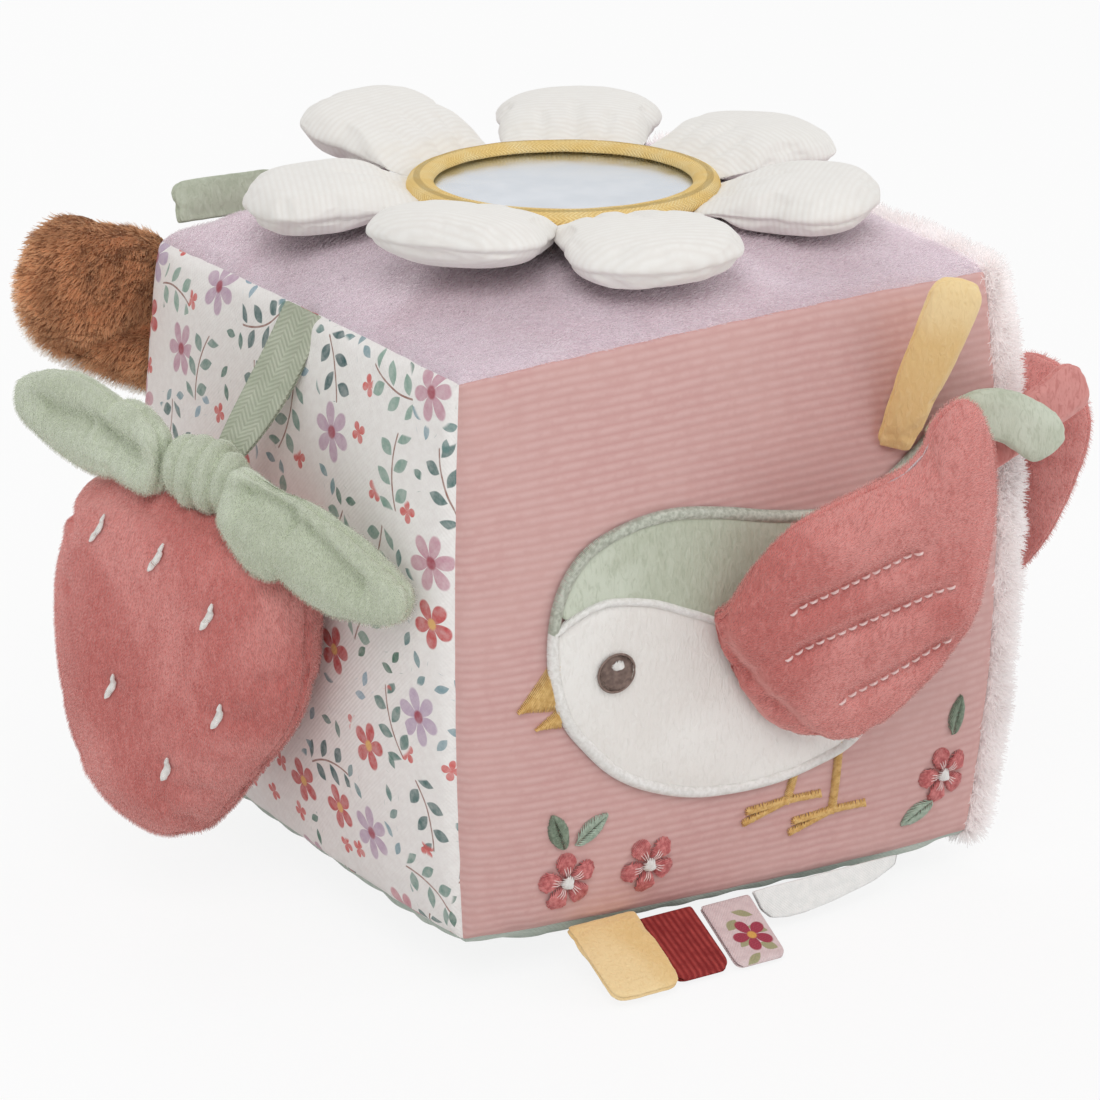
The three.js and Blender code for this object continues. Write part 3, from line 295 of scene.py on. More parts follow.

# %% [markdown]
# Brushed pile is the main finish: velour, plush and fur all show patches where the nap was brushed
# another way, and single fibres at close range. The patches are painted paler, partly as their own tone
# and partly as a painted sheen. The fibres get painted shade in their hollows and a painted highlight on
# their tops. One group gives both as a colour and a height, and each cloth sets its own colours, fibre
# size and direction.

# %% Group: brushed nap


def make_nap():
    inputs = [
        ("Vector", "Vector", None),
        ("Base", "Color", (0.5, 0.5, 0.5, 1)),
        ("Light", "Color", (0.7, 0.7, 0.7, 1)),
        ("Dark", "Color", (0.3, 0.3, 0.3, 1)),
        ("Grain", "Vector", (1, 1, 1)),
        ("Fibres", "Float", 900.0),
        ("Patches", "Float", 30.0),
        ("Depth", "Float", 0.5),
    ]
    tree, get, put = shader_group("brushed_nap", inputs, [("Color", "Color"), ("Height", "Float")])
    do = partial(calc, tree)
    combed = vector_calc(tree, "MULTIPLY", get["Vector"], get["Grain"])
    patches = noise_at(tree, get["Vector"], get["Patches"], 2.0, 0.5, 0.6)
    # Patches of brushed nap, painted paler towards the Light colour: partly their own tone, partly a
    # painted sheen.
    stroked_sheen = do("MULTIPLY", mapped(tree, patches, 0.4, 0.6), 0.8)
    # Fibres: painted shade in the Dark colour where the fibre noise is low and a painted highlight in
    # the Light colour where it is high; the same noise makes the bump.
    crinkle = noise_at(tree, combed, get["Fibres"], 2.0, 0.55, 0.9)
    shade = do("MULTIPLY", mapped(tree, crinkle, 0.52, 0.3), get["Depth"])
    shine = do("MULTIPLY", mapped(tree, crinkle, 0.5, 0.72), get["Depth"])
    tone = mixed(tree, stroked_sheen, get["Base"], get["Light"])
    tone = mixed(tree, shade, tone, get["Dark"])
    tree.links.new(mixed(tree, shine, tone, get["Light"]), put["Color"])
    tree.links.new(crinkle, put["Height"])
    return tree


brushed_nap = make_nap()

# %% Material: velour, plush and fur


def object_place(tree, turn=(0, 0, 0), scale=(1, 1, 1)):
    here = add(tree, "TexCoord").outputs["Object"]
    return add(tree, "Mapping", {"Vector": here, "Rotation": turn, "Scale": scale}).outputs[0]


CLOTH_SPECULAR = 0.15


def cloth_shader(tree, colour, height, bump, sheen, tint, roughness=0.92):
    relief = add(tree, "Bump", {"Height": height, "Strength": 1.0, "Distance": bump})
    surface = add(tree, "BsdfPrincipled", {
        "Base Color": colour, "Normal": relief.outputs[0], "Roughness": roughness,
        "Specular IOR Level": CLOTH_SPECULAR, "Sheen Weight": sheen, "Sheen Roughness": 0.45,
        "Sheen Tint": tint,
    })
    finished(tree, surface)
    return surface


SHEEN_RIM_BLEND = 0.42


def painted_sheen_rim(tree, colour, rim, most):
    """Painted sheen: pile seen from the side is painted paler, as if the tips caught the light and the
    roots no longer showed.
    """
    edge = add(tree, "LayerWeight", {"Blend": SHEEN_RIM_BLEND}).outputs["Facing"]
    return tinted(tree, colour, mapped(tree, edge, 0.25, 0.95), most, rim)


def velour(name, base, light, dark, rim=None, grain=(1, 1, 1), turn=(0, 0, 0), fibres=900.0,
           patches=26.0, depth=0.4, bump=0.0003, sheen=0.3, sheen_share=0.6):
    material, tree = blank_material(name)
    nap = place(tree, brushed_nap, {
        "Vector": object_place(tree, turn), "Base": paint(*base), "Light": paint(*light),
        "Dark": paint(*dark), "Grain": grain, "Fibres": fibres, "Patches": patches, "Depth": depth,
    })
    # Painted sheen: the colour goes paler towards the rim colour where the cloth is seen from the side.
    tone = painted_sheen_rim(tree, nap["Color"], paint(*(rim or light)), sheen_share)
    cloth_shader(tree, tone, nap["Height"], bump, sheen, paint(*light))
    return material


LENGTHWISE = (1, 1, 0.4)
# Each velour has a base colour and a paler colour for its painted sheen and fibre highlight, which is
# also the sheen's tint. It also has a darker colour for the painted shade between fibres, and the rim
# colour of its painted sheen.
LILAC = velour("lilac_plush", (205, 186, 194), (218, 205, 213), (184, 165, 176), (225, 215, 221),
               grain=(0.35, 1, 1), turn=(0, 0, 0.4), fibres=700.0)
CORAL = velour("coral_velour", (196, 120, 115), (222, 158, 153), (170, 92, 88), (232, 182, 177),
               grain=LENGTHWISE, fibres=850.0, sheen=0.5)
SAGE = velour("sage_velour", (190, 196, 177), (210, 216, 200), (166, 174, 152), (214, 220, 205),
              grain=LENGTHWISE)
OFF_WHITE = velour("off_white_velour", (234, 230, 225), (242, 240, 236), (224, 219, 213),
                   (246, 244, 241), grain=LENGTHWISE, depth=0.3)
YELLOW = velour("yellow_velour", (234, 201, 142), (247, 222, 172), (226, 190, 128), (250, 232, 196),
                grain=LENGTHWISE, depth=0.25)
FLUFF = velour("pale_fleece", (226, 216, 216), (240, 234, 234), (206, 192, 193),
               (242, 237, 237), fibres=420.0, depth=0.45, bump=0.001)
BROWN_FUR = velour("brown_fur", (148, 100, 68), (176, 126, 90), (106, 66, 44), (190, 144, 110),
                   grain=LENGTHWISE, fibres=420.0, depth=0.6, bump=0.001)
WHITE_FUR = velour("white_fur", (226, 220, 214), (240, 236, 232), (196, 186, 178),
                   grain=LENGTHWISE, fibres=420.0, depth=0.4, bump=0.001)
FILLING = velour("polyester_filling", (236, 234, 230), (246, 245, 242), (214, 210, 204),
                 fibres=260.0, depth=0.4, bump=0.001)


FUR_THROUGH = 0.5


def fur(name, root, tip, stray, clear=0.0, parting_shade=0.0):
    """Loose fibres: painted shade between the roots, pale at the tips, and letting light through. The
    clear share lets the cloth under a short pile show, and the parting share paints shade into the lines
    where a long pile parts."""
    material, tree = blank_material(name)
    along = add(tree, "SeparateXYZ", {0: cloth_map(tree)}).outputs["Y"]
    here = object_place(tree)
    tuft = noise_at(tree, here, 120.0, 2.0, 0.5)
    single = noise_at(tree, here, 900.0, 1.0, 0.5)
    # Painted shade: the root colour stands for the shade deep in the pile, since the blades cast no
    # shadow; the tips are paler.
    tone = mixed(tree, mapped(tree, along, 0.0, 0.85), paint(*root), paint(*tip))
    tone = tinted(tree, tone, mapped(tree, tuft, 0.35, 0.68), 0.5, paint(*stray))
    tone = tinted(tree, tone, mapped(tree, single, 0.4, 0.7), 0.3, paint(*tip))
    # Slow patches drawn towards the root colour: more painted shade.
    patches = noise_at(tree, here, 30.0, 2.0, 0.5, 0.6)
    tone = tinted(tree, tone, mapped(tree, patches, 0.6, 0.4), 0.35, paint(*root))
    # Painted shade along the lines where a long pile parts.
    if parting_shade:
        lines = noise_at(tree, object_place(tree, scale=(1, 1, 2.6)), 75.0, 3.0, 0.55, 1.2)
        off_line = calc(tree, "ABSOLUTE", calc(tree, "SUBTRACT", lines, 0.5))
        tone = tinted(tree, tone, mapped(tree, off_line, 0.035, 0.0), parting_shade, paint(*root))
    surface = add(tree, "BsdfPrincipled", {
        "Base Color": tone, "Roughness": 0.85, "Specular IOR Level": CLOTH_SPECULAR,
        "Sheen Weight": 0.2})
    through = add(tree, "BsdfTranslucent", {"Color": tone})
    both = add(tree, "MixShader", {0: FUR_THROUGH, 1: surface.outputs[0], 2: through.outputs[0]})
    empty = add(tree, "BsdfTransparent")
    thin = add(tree, "MixShader", {0: clear, 1: both.outputs[0], 2: empty.outputs[0]})
    finished(tree, thin)
    return material


# Each pile has a root colour that is painted shade, a tip colour, and a colour for stray fibres. The
# last value is how much of the cloth below shows.
LILAC_PILE = fur("lilac_pile", (222, 209, 215), (250, 244, 247), (238, 229, 234), 0.45)
CORAL_PILE = fur("coral_pile", (208, 138, 132), (248, 204, 199), (232, 170, 164), 0.62)
SAGE_PILE = fur("sage_pile", (200, 206, 186), (238, 242, 229), (220, 226, 209), 0.62)
FLUFF_PILE = fur("fluff_pile", (236, 230, 229), (253, 251, 251), (246, 242, 241), 0.15)
BROWN_PILE = fur("brown_pile", (138, 91, 60), (250, 206, 164), (214, 164, 122), 0.15, parting_shade=0.75)
WHITE_PILE = fur("white_pile", (238, 232, 226), (254, 252, 249), (248, 245, 241))
print("velours", len(bpy.data.materials))

# %% [markdown]
# The front is a knit of fine raised cords that run across it. The cords follow the cloth, so they read
# the panel's own map, which is laid out in metres. A slow noise makes them wander a little where the
# stuffing pushes. The tops of the cords are painted paler than the grooves between them: painted
# highlight and shade.

# %% Group: fine cords


def make_cords():
    inputs = [
        ("Across", "Float", 0.0),
        ("Along", "Vector", None),
        ("Pitch", "Float", 0.0026),
        ("Wander", "Float", 0.0006),
    ]
    outputs = [("Height", "Float"), ("Crest_highlight", "Float")]
    tree, get, put = shader_group("fine_cords", inputs, outputs)
    do = partial(calc, tree)
    slow = noise_at(tree, get["Along"], 38.0, 2.0, 0.5)
    shift = do("MULTIPLY", do("SUBTRACT", slow, 0.5), get["Wander"])
    turns = do("DIVIDE", do("ADD", get["Across"], shift), get["Pitch"])
    wave = do("COSINE", do("MULTIPLY", turns, math.tau))
    height = do("MULTIPLY_ADD", wave, 0.5, 0.5)
    fluff = noise_at(tree, get["Along"], 1100.0, 2.0, 0.6)
    patchy = noise_at(tree, get["Along"], 300.0, 2.0, 0.6)
    # Where the cords stand highest; this mask carries a painted highlight.
    crest_highlight = do("MULTIPLY", do("POWER", height, 0.7), mapped(tree, patchy, 0.3, 0.62, 0.35, 1.0))
    tree.links.new(do("ADD", height, do("MULTIPLY", fluff, 0.35)), put["Height"])
    tree.links.new(crest_highlight, put["Crest_highlight"])
    return tree


fine_cords = make_cords()

# %% Material: ribbed cloths


def ribbed(name, base, light, dark, pitch, bump, across="Y", wander=0.0006, sheen=0.2):
    material, tree = blank_material(name)
    here = cloth_map(tree)
    parts = add(tree, "SeparateXYZ", {0: here}).outputs
    cords = place(tree, fine_cords, {
        "Across": parts[across], "Along": here, "Pitch": pitch, "Wander": wander,
    })
    mottle = noise_at(tree, here, 30.0, 3.0, 0.55)
    tone = mixed(tree, mapped(tree, mottle, 0.35, 0.65), paint(*dark), paint(*base))
    # Painted highlight on the tops of the cords, then a painted sheen towards the light colour where the
    # cloth is seen from the side.
    tone = painted_sheen_rim(tree, mixed(tree, cords["Crest_highlight"], tone, paint(*light)), paint(*light), 0.5)
    cloth_shader(tree, tone, cords["Height"], bump, sheen, paint(*light))
    return material


# Each ribbed cloth: base, a paler colour for its painted highlight and painted sheen, and a darker one
# for its random mottle.
PINK_RIB = ribbed("dusty_pink_rib", (209, 167, 162), (215, 177, 173), (205, 160, 156), 0.00215, 0.00008,
                  wander=0.0013)
WHITE_RIB = ribbed("white_rib_velour", (239, 236, 231), (243, 241, 237), (236, 232, 227), 0.0015,
                   0.00004, wander=0.0003)
DARK_RED_RIB = ribbed("dark_red_rib", (150, 52, 52), (176, 74, 70), (128, 40, 42), 0.0016, 0.0004,
                      across="X", wander=0.0002)

# %% [markdown]
# The plain woven cloths (the printed side, the sage bottom and back, the label) show a fine grid of
# yarns. Small crossing waves are enough for the weave, and the bottom gets soft brush marks.

# %% Group: plain weave


def make_weave():
    inputs = [("Vector", "Vector", None), ("Pitch", "Float", 0.0006)]
    tree, get, put = shader_group("plain_weave", inputs, [("Height", "Float"), ("Yarn", "Float")])
    do = partial(calc, tree)
    parts = add(tree, "SeparateXYZ", {0: get["Vector"]}).outputs
    turn = do("DIVIDE", math.pi, get["Pitch"])
    across = do("SINE", do("MULTIPLY", parts["X"], turn))
    up = do("SINE", do("MULTIPLY", parts["Y"], turn))
    crossing = do("MULTIPLY_ADD", do("MULTIPLY", across, up), 0.5, 0.5)
    slub = noise_at(tree, get["Vector"], 500.0, 2.0, 0.5)
    tree.links.new(do("ADD", crossing, slub), put["Height"])
    tree.links.new(mapped(tree, slub, 0.3, 0.7), put["Yarn"])
    return tree


plain_weave = make_weave()

# %% Material: sage cotton with brush marks


def sage_cotton():
    material, tree = blank_material("sage_cotton")
    here = cloth_map(tree)
    weave = place(tree, plain_weave, {"Vector": here, "Pitch": 0.0006})
    slanting = {"Vector": here, "Rotation": (0, 0, 0.5), "Scale": (1, 3.2, 1)}
    brush = noise_at(tree, add(tree, "Mapping", slanting).outputs[0], 60.0, 3.0, 0.6, 1.2)
    tone = mixed(tree, mapped(tree, brush, 0.3, 0.72), paint(184, 197, 187), paint(203, 212, 203))
    tone = tinted(tree, tone, weave["Yarn"], 0.25, paint(166, 180, 170))
    cloth_shader(tree, tone, weave["Height"], 0.00007, 0.1, paint(220, 226, 220), 0.85)
    return material


SAGE_COTTON = sage_cotton()

# %% [markdown]
# The left side is white cotton with a scattered print of small flowers and leaves. The print here is
# a made-up one: every motif sits in its own cell of a Voronoi pattern, which gives each a middle and
# a chance value, and that value turns the motif and picks its kind and colour.

# %% Group: scattered places


def make_scatter():
    inputs = [("Vector", "Vector", None), ("Cell", "Float", 0.016), ("Shift", "Vector", (0, 0, 0))]
    outputs = [("X", "Float"), ("Y", "Float"), ("Chance", "Float"), ("Other", "Float")]
    tree, get, put = shader_group("scattered_places", inputs, outputs)
    do = partial(calc, tree)
    moved = vector_calc(tree, "ADD", get["Vector"], get["Shift"])
    scale = do("DIVIDE", 1.0, get["Cell"])
    cells = add(tree, "TexVoronoi", {"Vector": moved, "Scale": scale, "Randomness": 0.62},
                voronoi_dimensions="2D")
    away = vector_calc(tree, "SUBTRACT", moved, cells.outputs["Position"])
    chance = add(tree, "SeparateColor", {0: cells.outputs["Color"]}).outputs
    angle = do("MULTIPLY", chance[0], math.tau)
    turned = add(tree, "VectorRotate", {"Vector": away, "Angle": angle}, rotation_type="Z_AXIS")
    parts = add(tree, "SeparateXYZ", {0: turned.outputs[0]}).outputs
    tree.links.new(parts["X"], put["X"])
    tree.links.new(parts["Y"], put["Y"])
    tree.links.new(chance[1], put["Chance"])
    tree.links.new(chance[2], put["Other"])
    return tree


scattered_places = make_scatter()

# %% Group: blossom and sprig shapes
SPOT = [("X", "Float", 0.0), ("Y", "Float", 0.0)]


def make_blossom():
    inputs = [*SPOT, ("Petals", "Float", 6.0), ("Radius", "Float", 0.005)]
    tree, get, put = shader_group("blossom", inputs, [("Petal", "Float"), ("Heart", "Float")])
    do = partial(calc, tree)
    flat = add(tree, "CombineXYZ", {"X": get["X"], "Y": get["Y"]}).outputs[0]
    radius = vector_calc(tree, "LENGTH", flat, output=1)
    angle = do("ARCTAN2", get["Y"], get["X"])
    swing = do("ABSOLUTE", do("COSINE", do("MULTIPLY", angle, do("MULTIPLY", get["Petals"], 0.5))))
    reach = do("MULTIPLY", do("POWER", swing, 0.4), get["Radius"])
    edge = do("DIVIDE", do("SUBTRACT", reach, radius), get["Radius"])
    tree.links.new(mapped(tree, edge, 0.0, 0.1), put["Petal"])
    heart = do("DIVIDE", radius, get["Radius"])
    tree.links.new(mapped(tree, heart, 0.26, 0.16), put["Heart"])
    return tree


def make_sprig():
    """Leaves in pairs along a short bent stem that runs up the cell."""
    inputs = [*SPOT, ("Length", "Float", 0.007), ("Leaf", "Float", 0.003)]
    tree, get, put = shader_group("sprig", inputs, [("Leaf", "Float"), ("Stem", "Float")])
    do = partial(calc, tree)
    bend = do("MULTIPLY", do("MULTIPLY", get["Y"], get["Y"]), 22.0)
    across = do("SUBTRACT", get["X"], bend)
    side = do("SIGN", across)
    pitch = do("MULTIPLY", get["Leaf"], 1.25)
    staggered = do("ADD", get["Y"], do("MULTIPLY", side, do("MULTIPLY", pitch, 0.25)))
    cell = do("MULTIPLY", do("SUBTRACT", do("FRACT", do("DIVIDE", staggered, pitch)), 0.5), pitch)
    out = do("SUBTRACT", do("ABSOLUTE", across), do("MULTIPLY", get["Leaf"], 0.56))
    cosine, sine = math.cos(0.6), math.sin(0.6)
    along = do("ADD", do("MULTIPLY", out, cosine), do("MULTIPLY", cell, sine))
    over = do("SUBTRACT", do("MULTIPLY", cell, cosine), do("MULTIPLY", out, sine))
    long_share = do("DIVIDE", along, do("MULTIPLY", get["Leaf"], 0.56))
    wide_share = do("DIVIDE", over, do("MULTIPLY", get["Leaf"], 0.3))
    round_share = do("ADD", do("MULTIPLY", long_share, long_share), do("ABSOLUTE", wide_share))
    within = mapped(tree, do("DIVIDE", do("ABSOLUTE", get["Y"]), get["Length"]), 1.0, 0.94)
    tree.links.new(do("MULTIPLY", mapped(tree, round_share, 1.0, 0.8), within), put["Leaf"])
    stem = mapped(tree, do("ABSOLUTE", across), 0.00032, 0.00018)
    tree.links.new(do("MULTIPLY", stem, within), put["Stem"])
    return tree


blossom, sprig = make_blossom(), make_sprig()

# %% Material: printed cotton


def picked(tree, value, low, high):
    """1 where a chance value lies between two shares."""
    above = calc(tree, "GREATER_THAN", value, low)
    return calc(tree, "MULTIPLY", above, calc(tree, "LESS_THAN", value, high))


def printed_cotton():
    material, tree = blank_material("printed_cotton")
    here = cloth_map(tree)
    weave = place(tree, plain_weave, {"Vector": here, "Pitch": 0.0006})
    wash = noise_at(tree, here, 420.0, 3.0, 0.6)
    wet = mapped(tree, wash, 0.25, 0.75, 0.7, 1.0)
    tone = mixed(tree, weave["Yarn"], paint(246, 243, 240), paint(241, 237, 234))

    def laid(tone, motif, part, where, colour):
        mask = calc(tree, "MULTIPLY", motif[part], where)
        return mixed(tree, calc(tree, "MULTIPLY", mask, wet), tone, colour)

    def motif(group, cell, **sizes):
        return place(tree, group, {"X": cell["X"], "Y": cell["Y"], **sizes})

    big = place(tree, scattered_places, {"Vector": here, "Cell": 0.0195})
    twig = motif(sprig, big, Length=0.0092, Leaf=0.0054)
    twig_tone = mixed(tree, big["Other"], paint(64, 98, 100), paint(142, 172, 158))
    is_twig = picked(tree, big["Chance"], 0.0, 0.5)
    tone = laid(tone, twig, "Stem", is_twig, paint(150, 108, 96))
    tone = laid(tone, twig, "Leaf", is_twig, twig_tone)
    daisy = motif(blossom, big, Petals=6.0, Radius=0.0074)
    is_daisy = picked(tree, big["Chance"], 0.5, 0.76)
    daisy_tone = mixed(tree, big["Other"], paint(212, 146, 152), paint(190, 172, 196))
    tone = laid(tone, daisy, "Petal", is_daisy, daisy_tone)
    tone = laid(tone, daisy, "Heart", is_daisy, paint(170, 84, 96))
    bud = motif(blossom, big, Petals=5.0, Radius=0.0063)
    is_bud = picked(tree, big["Chance"], 0.76, 1.1)
    tone = laid(tone, bud, "Petal", is_bud, paint(198, 84, 84))
    tone = laid(tone, bud, "Heart", is_bud, paint(232, 190, 120))

    small = place(tree, scattered_places, {"Vector": here, "Cell": 0.0118, "Shift": (0.31, 0.17, 0)})
    from_middle = add(tree, "CombineXYZ", {"X": big["X"], "Y": big["Y"]}).outputs[0]
    clear = mapped(tree, vector_calc(tree, "LENGTH", from_middle, output=1), 0.0078, 0.0088)
    leaf = motif(sprig, small, Length=0.0026, Leaf=0.004)
    leaf_tone = mixed(tree, small["Other"], paint(84, 122, 104), paint(150, 176, 190))
    is_leaf = calc(tree, "MULTIPLY", picked(tree, small["Chance"], 0.0, 0.62), clear)
    tone = laid(tone, leaf, "Leaf", is_leaf, leaf_tone)
    dot = motif(blossom, small, Petals=4.0, Radius=0.0028)
    is_dot = calc(tree, "MULTIPLY", picked(tree, small["Chance"], 0.62, 0.86), clear)
    tone = laid(tone, dot, "Petal", is_dot, paint(214, 104, 100))
    cloth_shader(tree, tone, weave["Height"], 0.00008, 0.1, paint(244, 242, 240), 0.85)
    return material


PRINT = printed_cotton()
print("print made of", len(PRINT.node_tree.nodes), "nodes")

# %% [markdown]
# Two bands have a herringbone weave: the sage tape that the strawberry hangs on, and the mustard band
# round the mirror. Slanting yarns that change their lean from column to column give it, on the band's
# own map. Threads are single-coloured and slightly glossy, and the gaps between the yarns are painted
# darker as a painted shade.

# %% Group: herringbone


def make_herringbone():
    inputs = [("Vector", "Vector", None), ("Column", "Float", 0.0025), ("Pitch", "Float", 0.0012)]
    tree, get, put = shader_group("herringbone", inputs, [("Height", "Float"), ("Gap_shade", "Float")])
    do = partial(calc, tree)
    parts = add(tree, "SeparateXYZ", {0: get["Vector"]}).outputs
    lean = do("PINGPONG", parts["X"], get["Column"])
    turns = do("DIVIDE", do("ADD", parts["Y"], lean), get["Pitch"])
    wave = do("MULTIPLY_ADD", do("COSINE", do("MULTIPLY", turns, math.tau)), 0.5, 0.5)
    fuzz = noise_at(tree, get["Vector"], 1400.0, 2.0, 0.6)
    tree.links.new(do("ADD", wave, do("MULTIPLY", fuzz, 0.3)), put["Height"])
    # The low part between the yarns, which gets a painted shade.
    tree.links.new(mapped(tree, wave, 0.45, 0.1), put["Gap_shade"])
    return tree


herringbone = make_herringbone()


def woven_band(name, base, light, dark, column, pitch):
    material, tree = blank_material(name)
    here = cloth_map(tree)
    weave = place(tree, herringbone, {"Vector": here, "Column": column, "Pitch": pitch})
    fade = noise_at(tree, here, 120.0, 2.0, 0.5)
    tone = mixed(tree, mapped(tree, fade, 0.35, 0.65), paint(*base), paint(*light))
    # Painted shade in the gaps between the yarns.
    tone = tinted(tree, tone, weave["Gap_shade"], 0.5, paint(*dark))
    cloth_shader(tree, tone, weave["Height"], 0.00022, 0.1, paint(*light), 0.9)
    return material


# Each band: base, a paler colour for its random fading, and a darker one for the painted shade in its
# gaps.
SAGE_TAPE = woven_band("sage_tape", (182, 188, 168), (196, 201, 182), (154, 160, 140), 0.0025, 0.0013)
MUSTARD = woven_band("mustard_cloth", (250, 216, 142), (254, 228, 166), (228, 184, 106), 0.0016, 0.0011)

# %% Material: threads, ribbons, foil, film and plastic


def thread(name, base, light, dark):
    material, tree = blank_material(name)
    here = object_place(tree)
    twist = noise_at(tree, here, 900.0, 2.0, 0.6)
    tone = mixed(tree, mapped(tree, twist, 0.3, 0.7), paint(*dark), paint(*light))
    tone = mixed(tree, 0.5, tone, paint(*base))
    surface = cloth_shader(tree, tone, twist, 0.0001, 0.0, paint(*light), 0.5)
    surface.inputs["Specular IOR Level"].default_value = 0.5
    return material


WHITE_THREAD = thread("white_thread", (240, 238, 234), (250, 249, 247), (220, 217, 212))
GREY_THREAD = thread("grey_green_thread", (194, 198, 184), (222, 225, 214), (146, 150, 134))
EYE_THREAD = thread("eye_thread", (126, 104, 94), (156, 136, 126), (88, 68, 62))
GOLD_THREAD = thread("gold_thread", (226, 182, 108), (242, 212, 148), (188, 141, 74))
ROSE_THREAD = thread("rose_thread", (204, 108, 108), (238, 166, 162), (162, 66, 70))
GREEN_THREAD = thread("green_thread", (128, 144, 124), (160, 174, 154), (84, 98, 80))
PALE_THREAD = thread("pale_green_thread", (168, 184, 166), (190, 204, 188), (130, 146, 128))
PINK_THREAD = thread("pale_pink_thread", (242, 214, 210), (252, 234, 231), (222, 188, 184))


def ribbon_white():
    material, tree = blank_material("label_ribbon")
    here = cloth_map(tree)
    weave = place(tree, plain_weave, {"Vector": here, "Pitch": 0.0004})
    tone = mixed(tree, weave["Yarn"], paint(240, 241, 239), paint(232, 234, 232))
    cloth_shader(tree, tone, weave["Height"], 0.00004, 0.1, paint(240, 240, 238), 0.6)
    return material


def printed_ribbon():
    """Pale satin with one small made-up flower and two leaves."""
    material, tree = blank_material("printed_ribbon")
    here = cloth_map(tree)
    parts = add(tree, "SeparateXYZ", {0: here}).outputs
    up = calc(tree, "SUBTRACT", parts["Y"], 0.0125)
    weave = place(tree, plain_weave, {"Vector": here, "Pitch": 0.0004})
    tone = mixed(tree, weave["Yarn"], paint(226, 208, 208), paint(216, 196, 197))
    leaves = place(tree, sprig, {"X": parts["X"], "Y": up, "Length": 0.0086, "Leaf": 0.0046})
    tone = mixed(tree, leaves["Leaf"], tone, paint(166, 164, 128))
    flower = place(tree, blossom, {"X": parts["X"], "Y": up, "Petals": 5.0, "Radius": 0.0054})
    tone = mixed(tree, flower["Petal"], tone, paint(164, 66, 84))
    tone = mixed(tree, flower["Heart"], tone, paint(220, 170, 90))
    cloth_shader(tree, tone, weave["Height"], 0.0001, 0.1, paint(235, 220, 220), 0.5)
    return material


def mirror_foil():
    """Thin plastic mirror: bright, slightly blurred, with faint waves."""
    material, tree = blank_material("mirror_foil")
    here = object_place(tree)
    waves = noise_at(tree, here, 28.0, 2.0, 0.5)
    smear = noise_at(tree, here, 90.0, 3.0, 0.6)
    relief = add(tree, "Bump", {"Height": waves, "Strength": 0.12, "Distance": 0.001})
    tone = mixed(tree, mapped(tree, smear, 0.3, 0.7), paint(196, 202, 210), paint(206, 211, 218))
    finished(tree, add(tree, "BsdfPrincipled", {
        "Base Color": tone, "Normal": relief.outputs[0], "Metallic": 1.0,
        "Roughness": mapped(tree, smear, 0.3, 0.7, 0.16, 0.26)}))
    return material


def smooth_plastic(name, base, mottled, roughness):
    material, tree = blank_material(name)
    speckle = noise_at(tree, object_place(tree), 260.0, 3.0, 0.6)
    tone = mixed(tree, mapped(tree, speckle, 0.3, 0.7), paint(*base), paint(*mottled))
    relief = add(tree, "Bump", {"Height": speckle, "Strength": 0.3, "Distance": 0.0002})
    finished(tree, add(tree, "BsdfPrincipled", {
        "Base Color": tone, "Normal": relief.outputs[0],
        "Roughness": mapped(tree, speckle, 0.3, 0.7, roughness, roughness + 0.12)}))
    return material


LABEL, PRINTED_RIBBON, FOIL = ribbon_white(), printed_ribbon(), mirror_foil()
FILM = smooth_plastic("crackle_film", (214, 220, 224), (190, 198, 204), 0.2)
RATTLE = smooth_plastic("rattle_plastic", (222, 216, 204), (208, 200, 188), 0.35)
print("materials", len(bpy.data.materials))

# %% [markdown]
# The cube is six panels of cloth sewn edge to edge over soft stuffing. It starts as one cube cut into
# small cells, is moved to the same crowned, bowed shape as the model, a little slack, and is then
# blown up by a cloth simulation that is held at the seams. Only after that is it cut
# into its six panels, so every seam still closes exactly.

# %% Sizes of the cube
X, Y, Z = Vector((1, 0, 0)), Vector((0, 1, 0)), Vector((0, 0, 1))
HALF_WIDTH, HALF_HEIGHT = 73.0, 70.0
MIDDLE_Z = 81.5
RIGHT_RISE = 2.5
UPRIGHT = {"half": (73.0, 70.0, 73.0), "crown": 7.0, "power": 3, "bows": (3.8, 1.2)}
LYING = {"half": (73.0, 73.0, 70.0), "crown": 12.0, "bows": (1.2, 1.2)}
PANELS = [
    {"name": "front", "u": X, "v": Z, "n": -Y, "cloth": PINK_RIB, "slot": "pink_rib", **UPRIGHT},
    {"name": "back", "u": -X, "v": Z, "n": Y, "cloth": SAGE_COTTON, "slot": "sage_cotton", **UPRIGHT},
    {"name": "left", "u": -Y, "v": Z, "n": -X, "cloth": PRINT, "slot": "printed_cotton", **UPRIGHT},
    {"name": "right", "u": Y, "v": Z, "n": X, "cloth": FLUFF, "slot": "pink_fluff", **UPRIGHT},
    {"name": "top", "u": X, "v": Y, "n": Z, "cloth": LILAC, "slot": "lilac_plush", "power": 3, **LYING},
    {"name": "bottom", "u": X, "v": -Y, "n": -Z, "cloth": SAGE_COTTON, "slot": "sage_cotton",
     "power": 5, **LYING},
]
CUBE_CELLS = 36


def bow(most, share):
    return most * (1 - share * share)


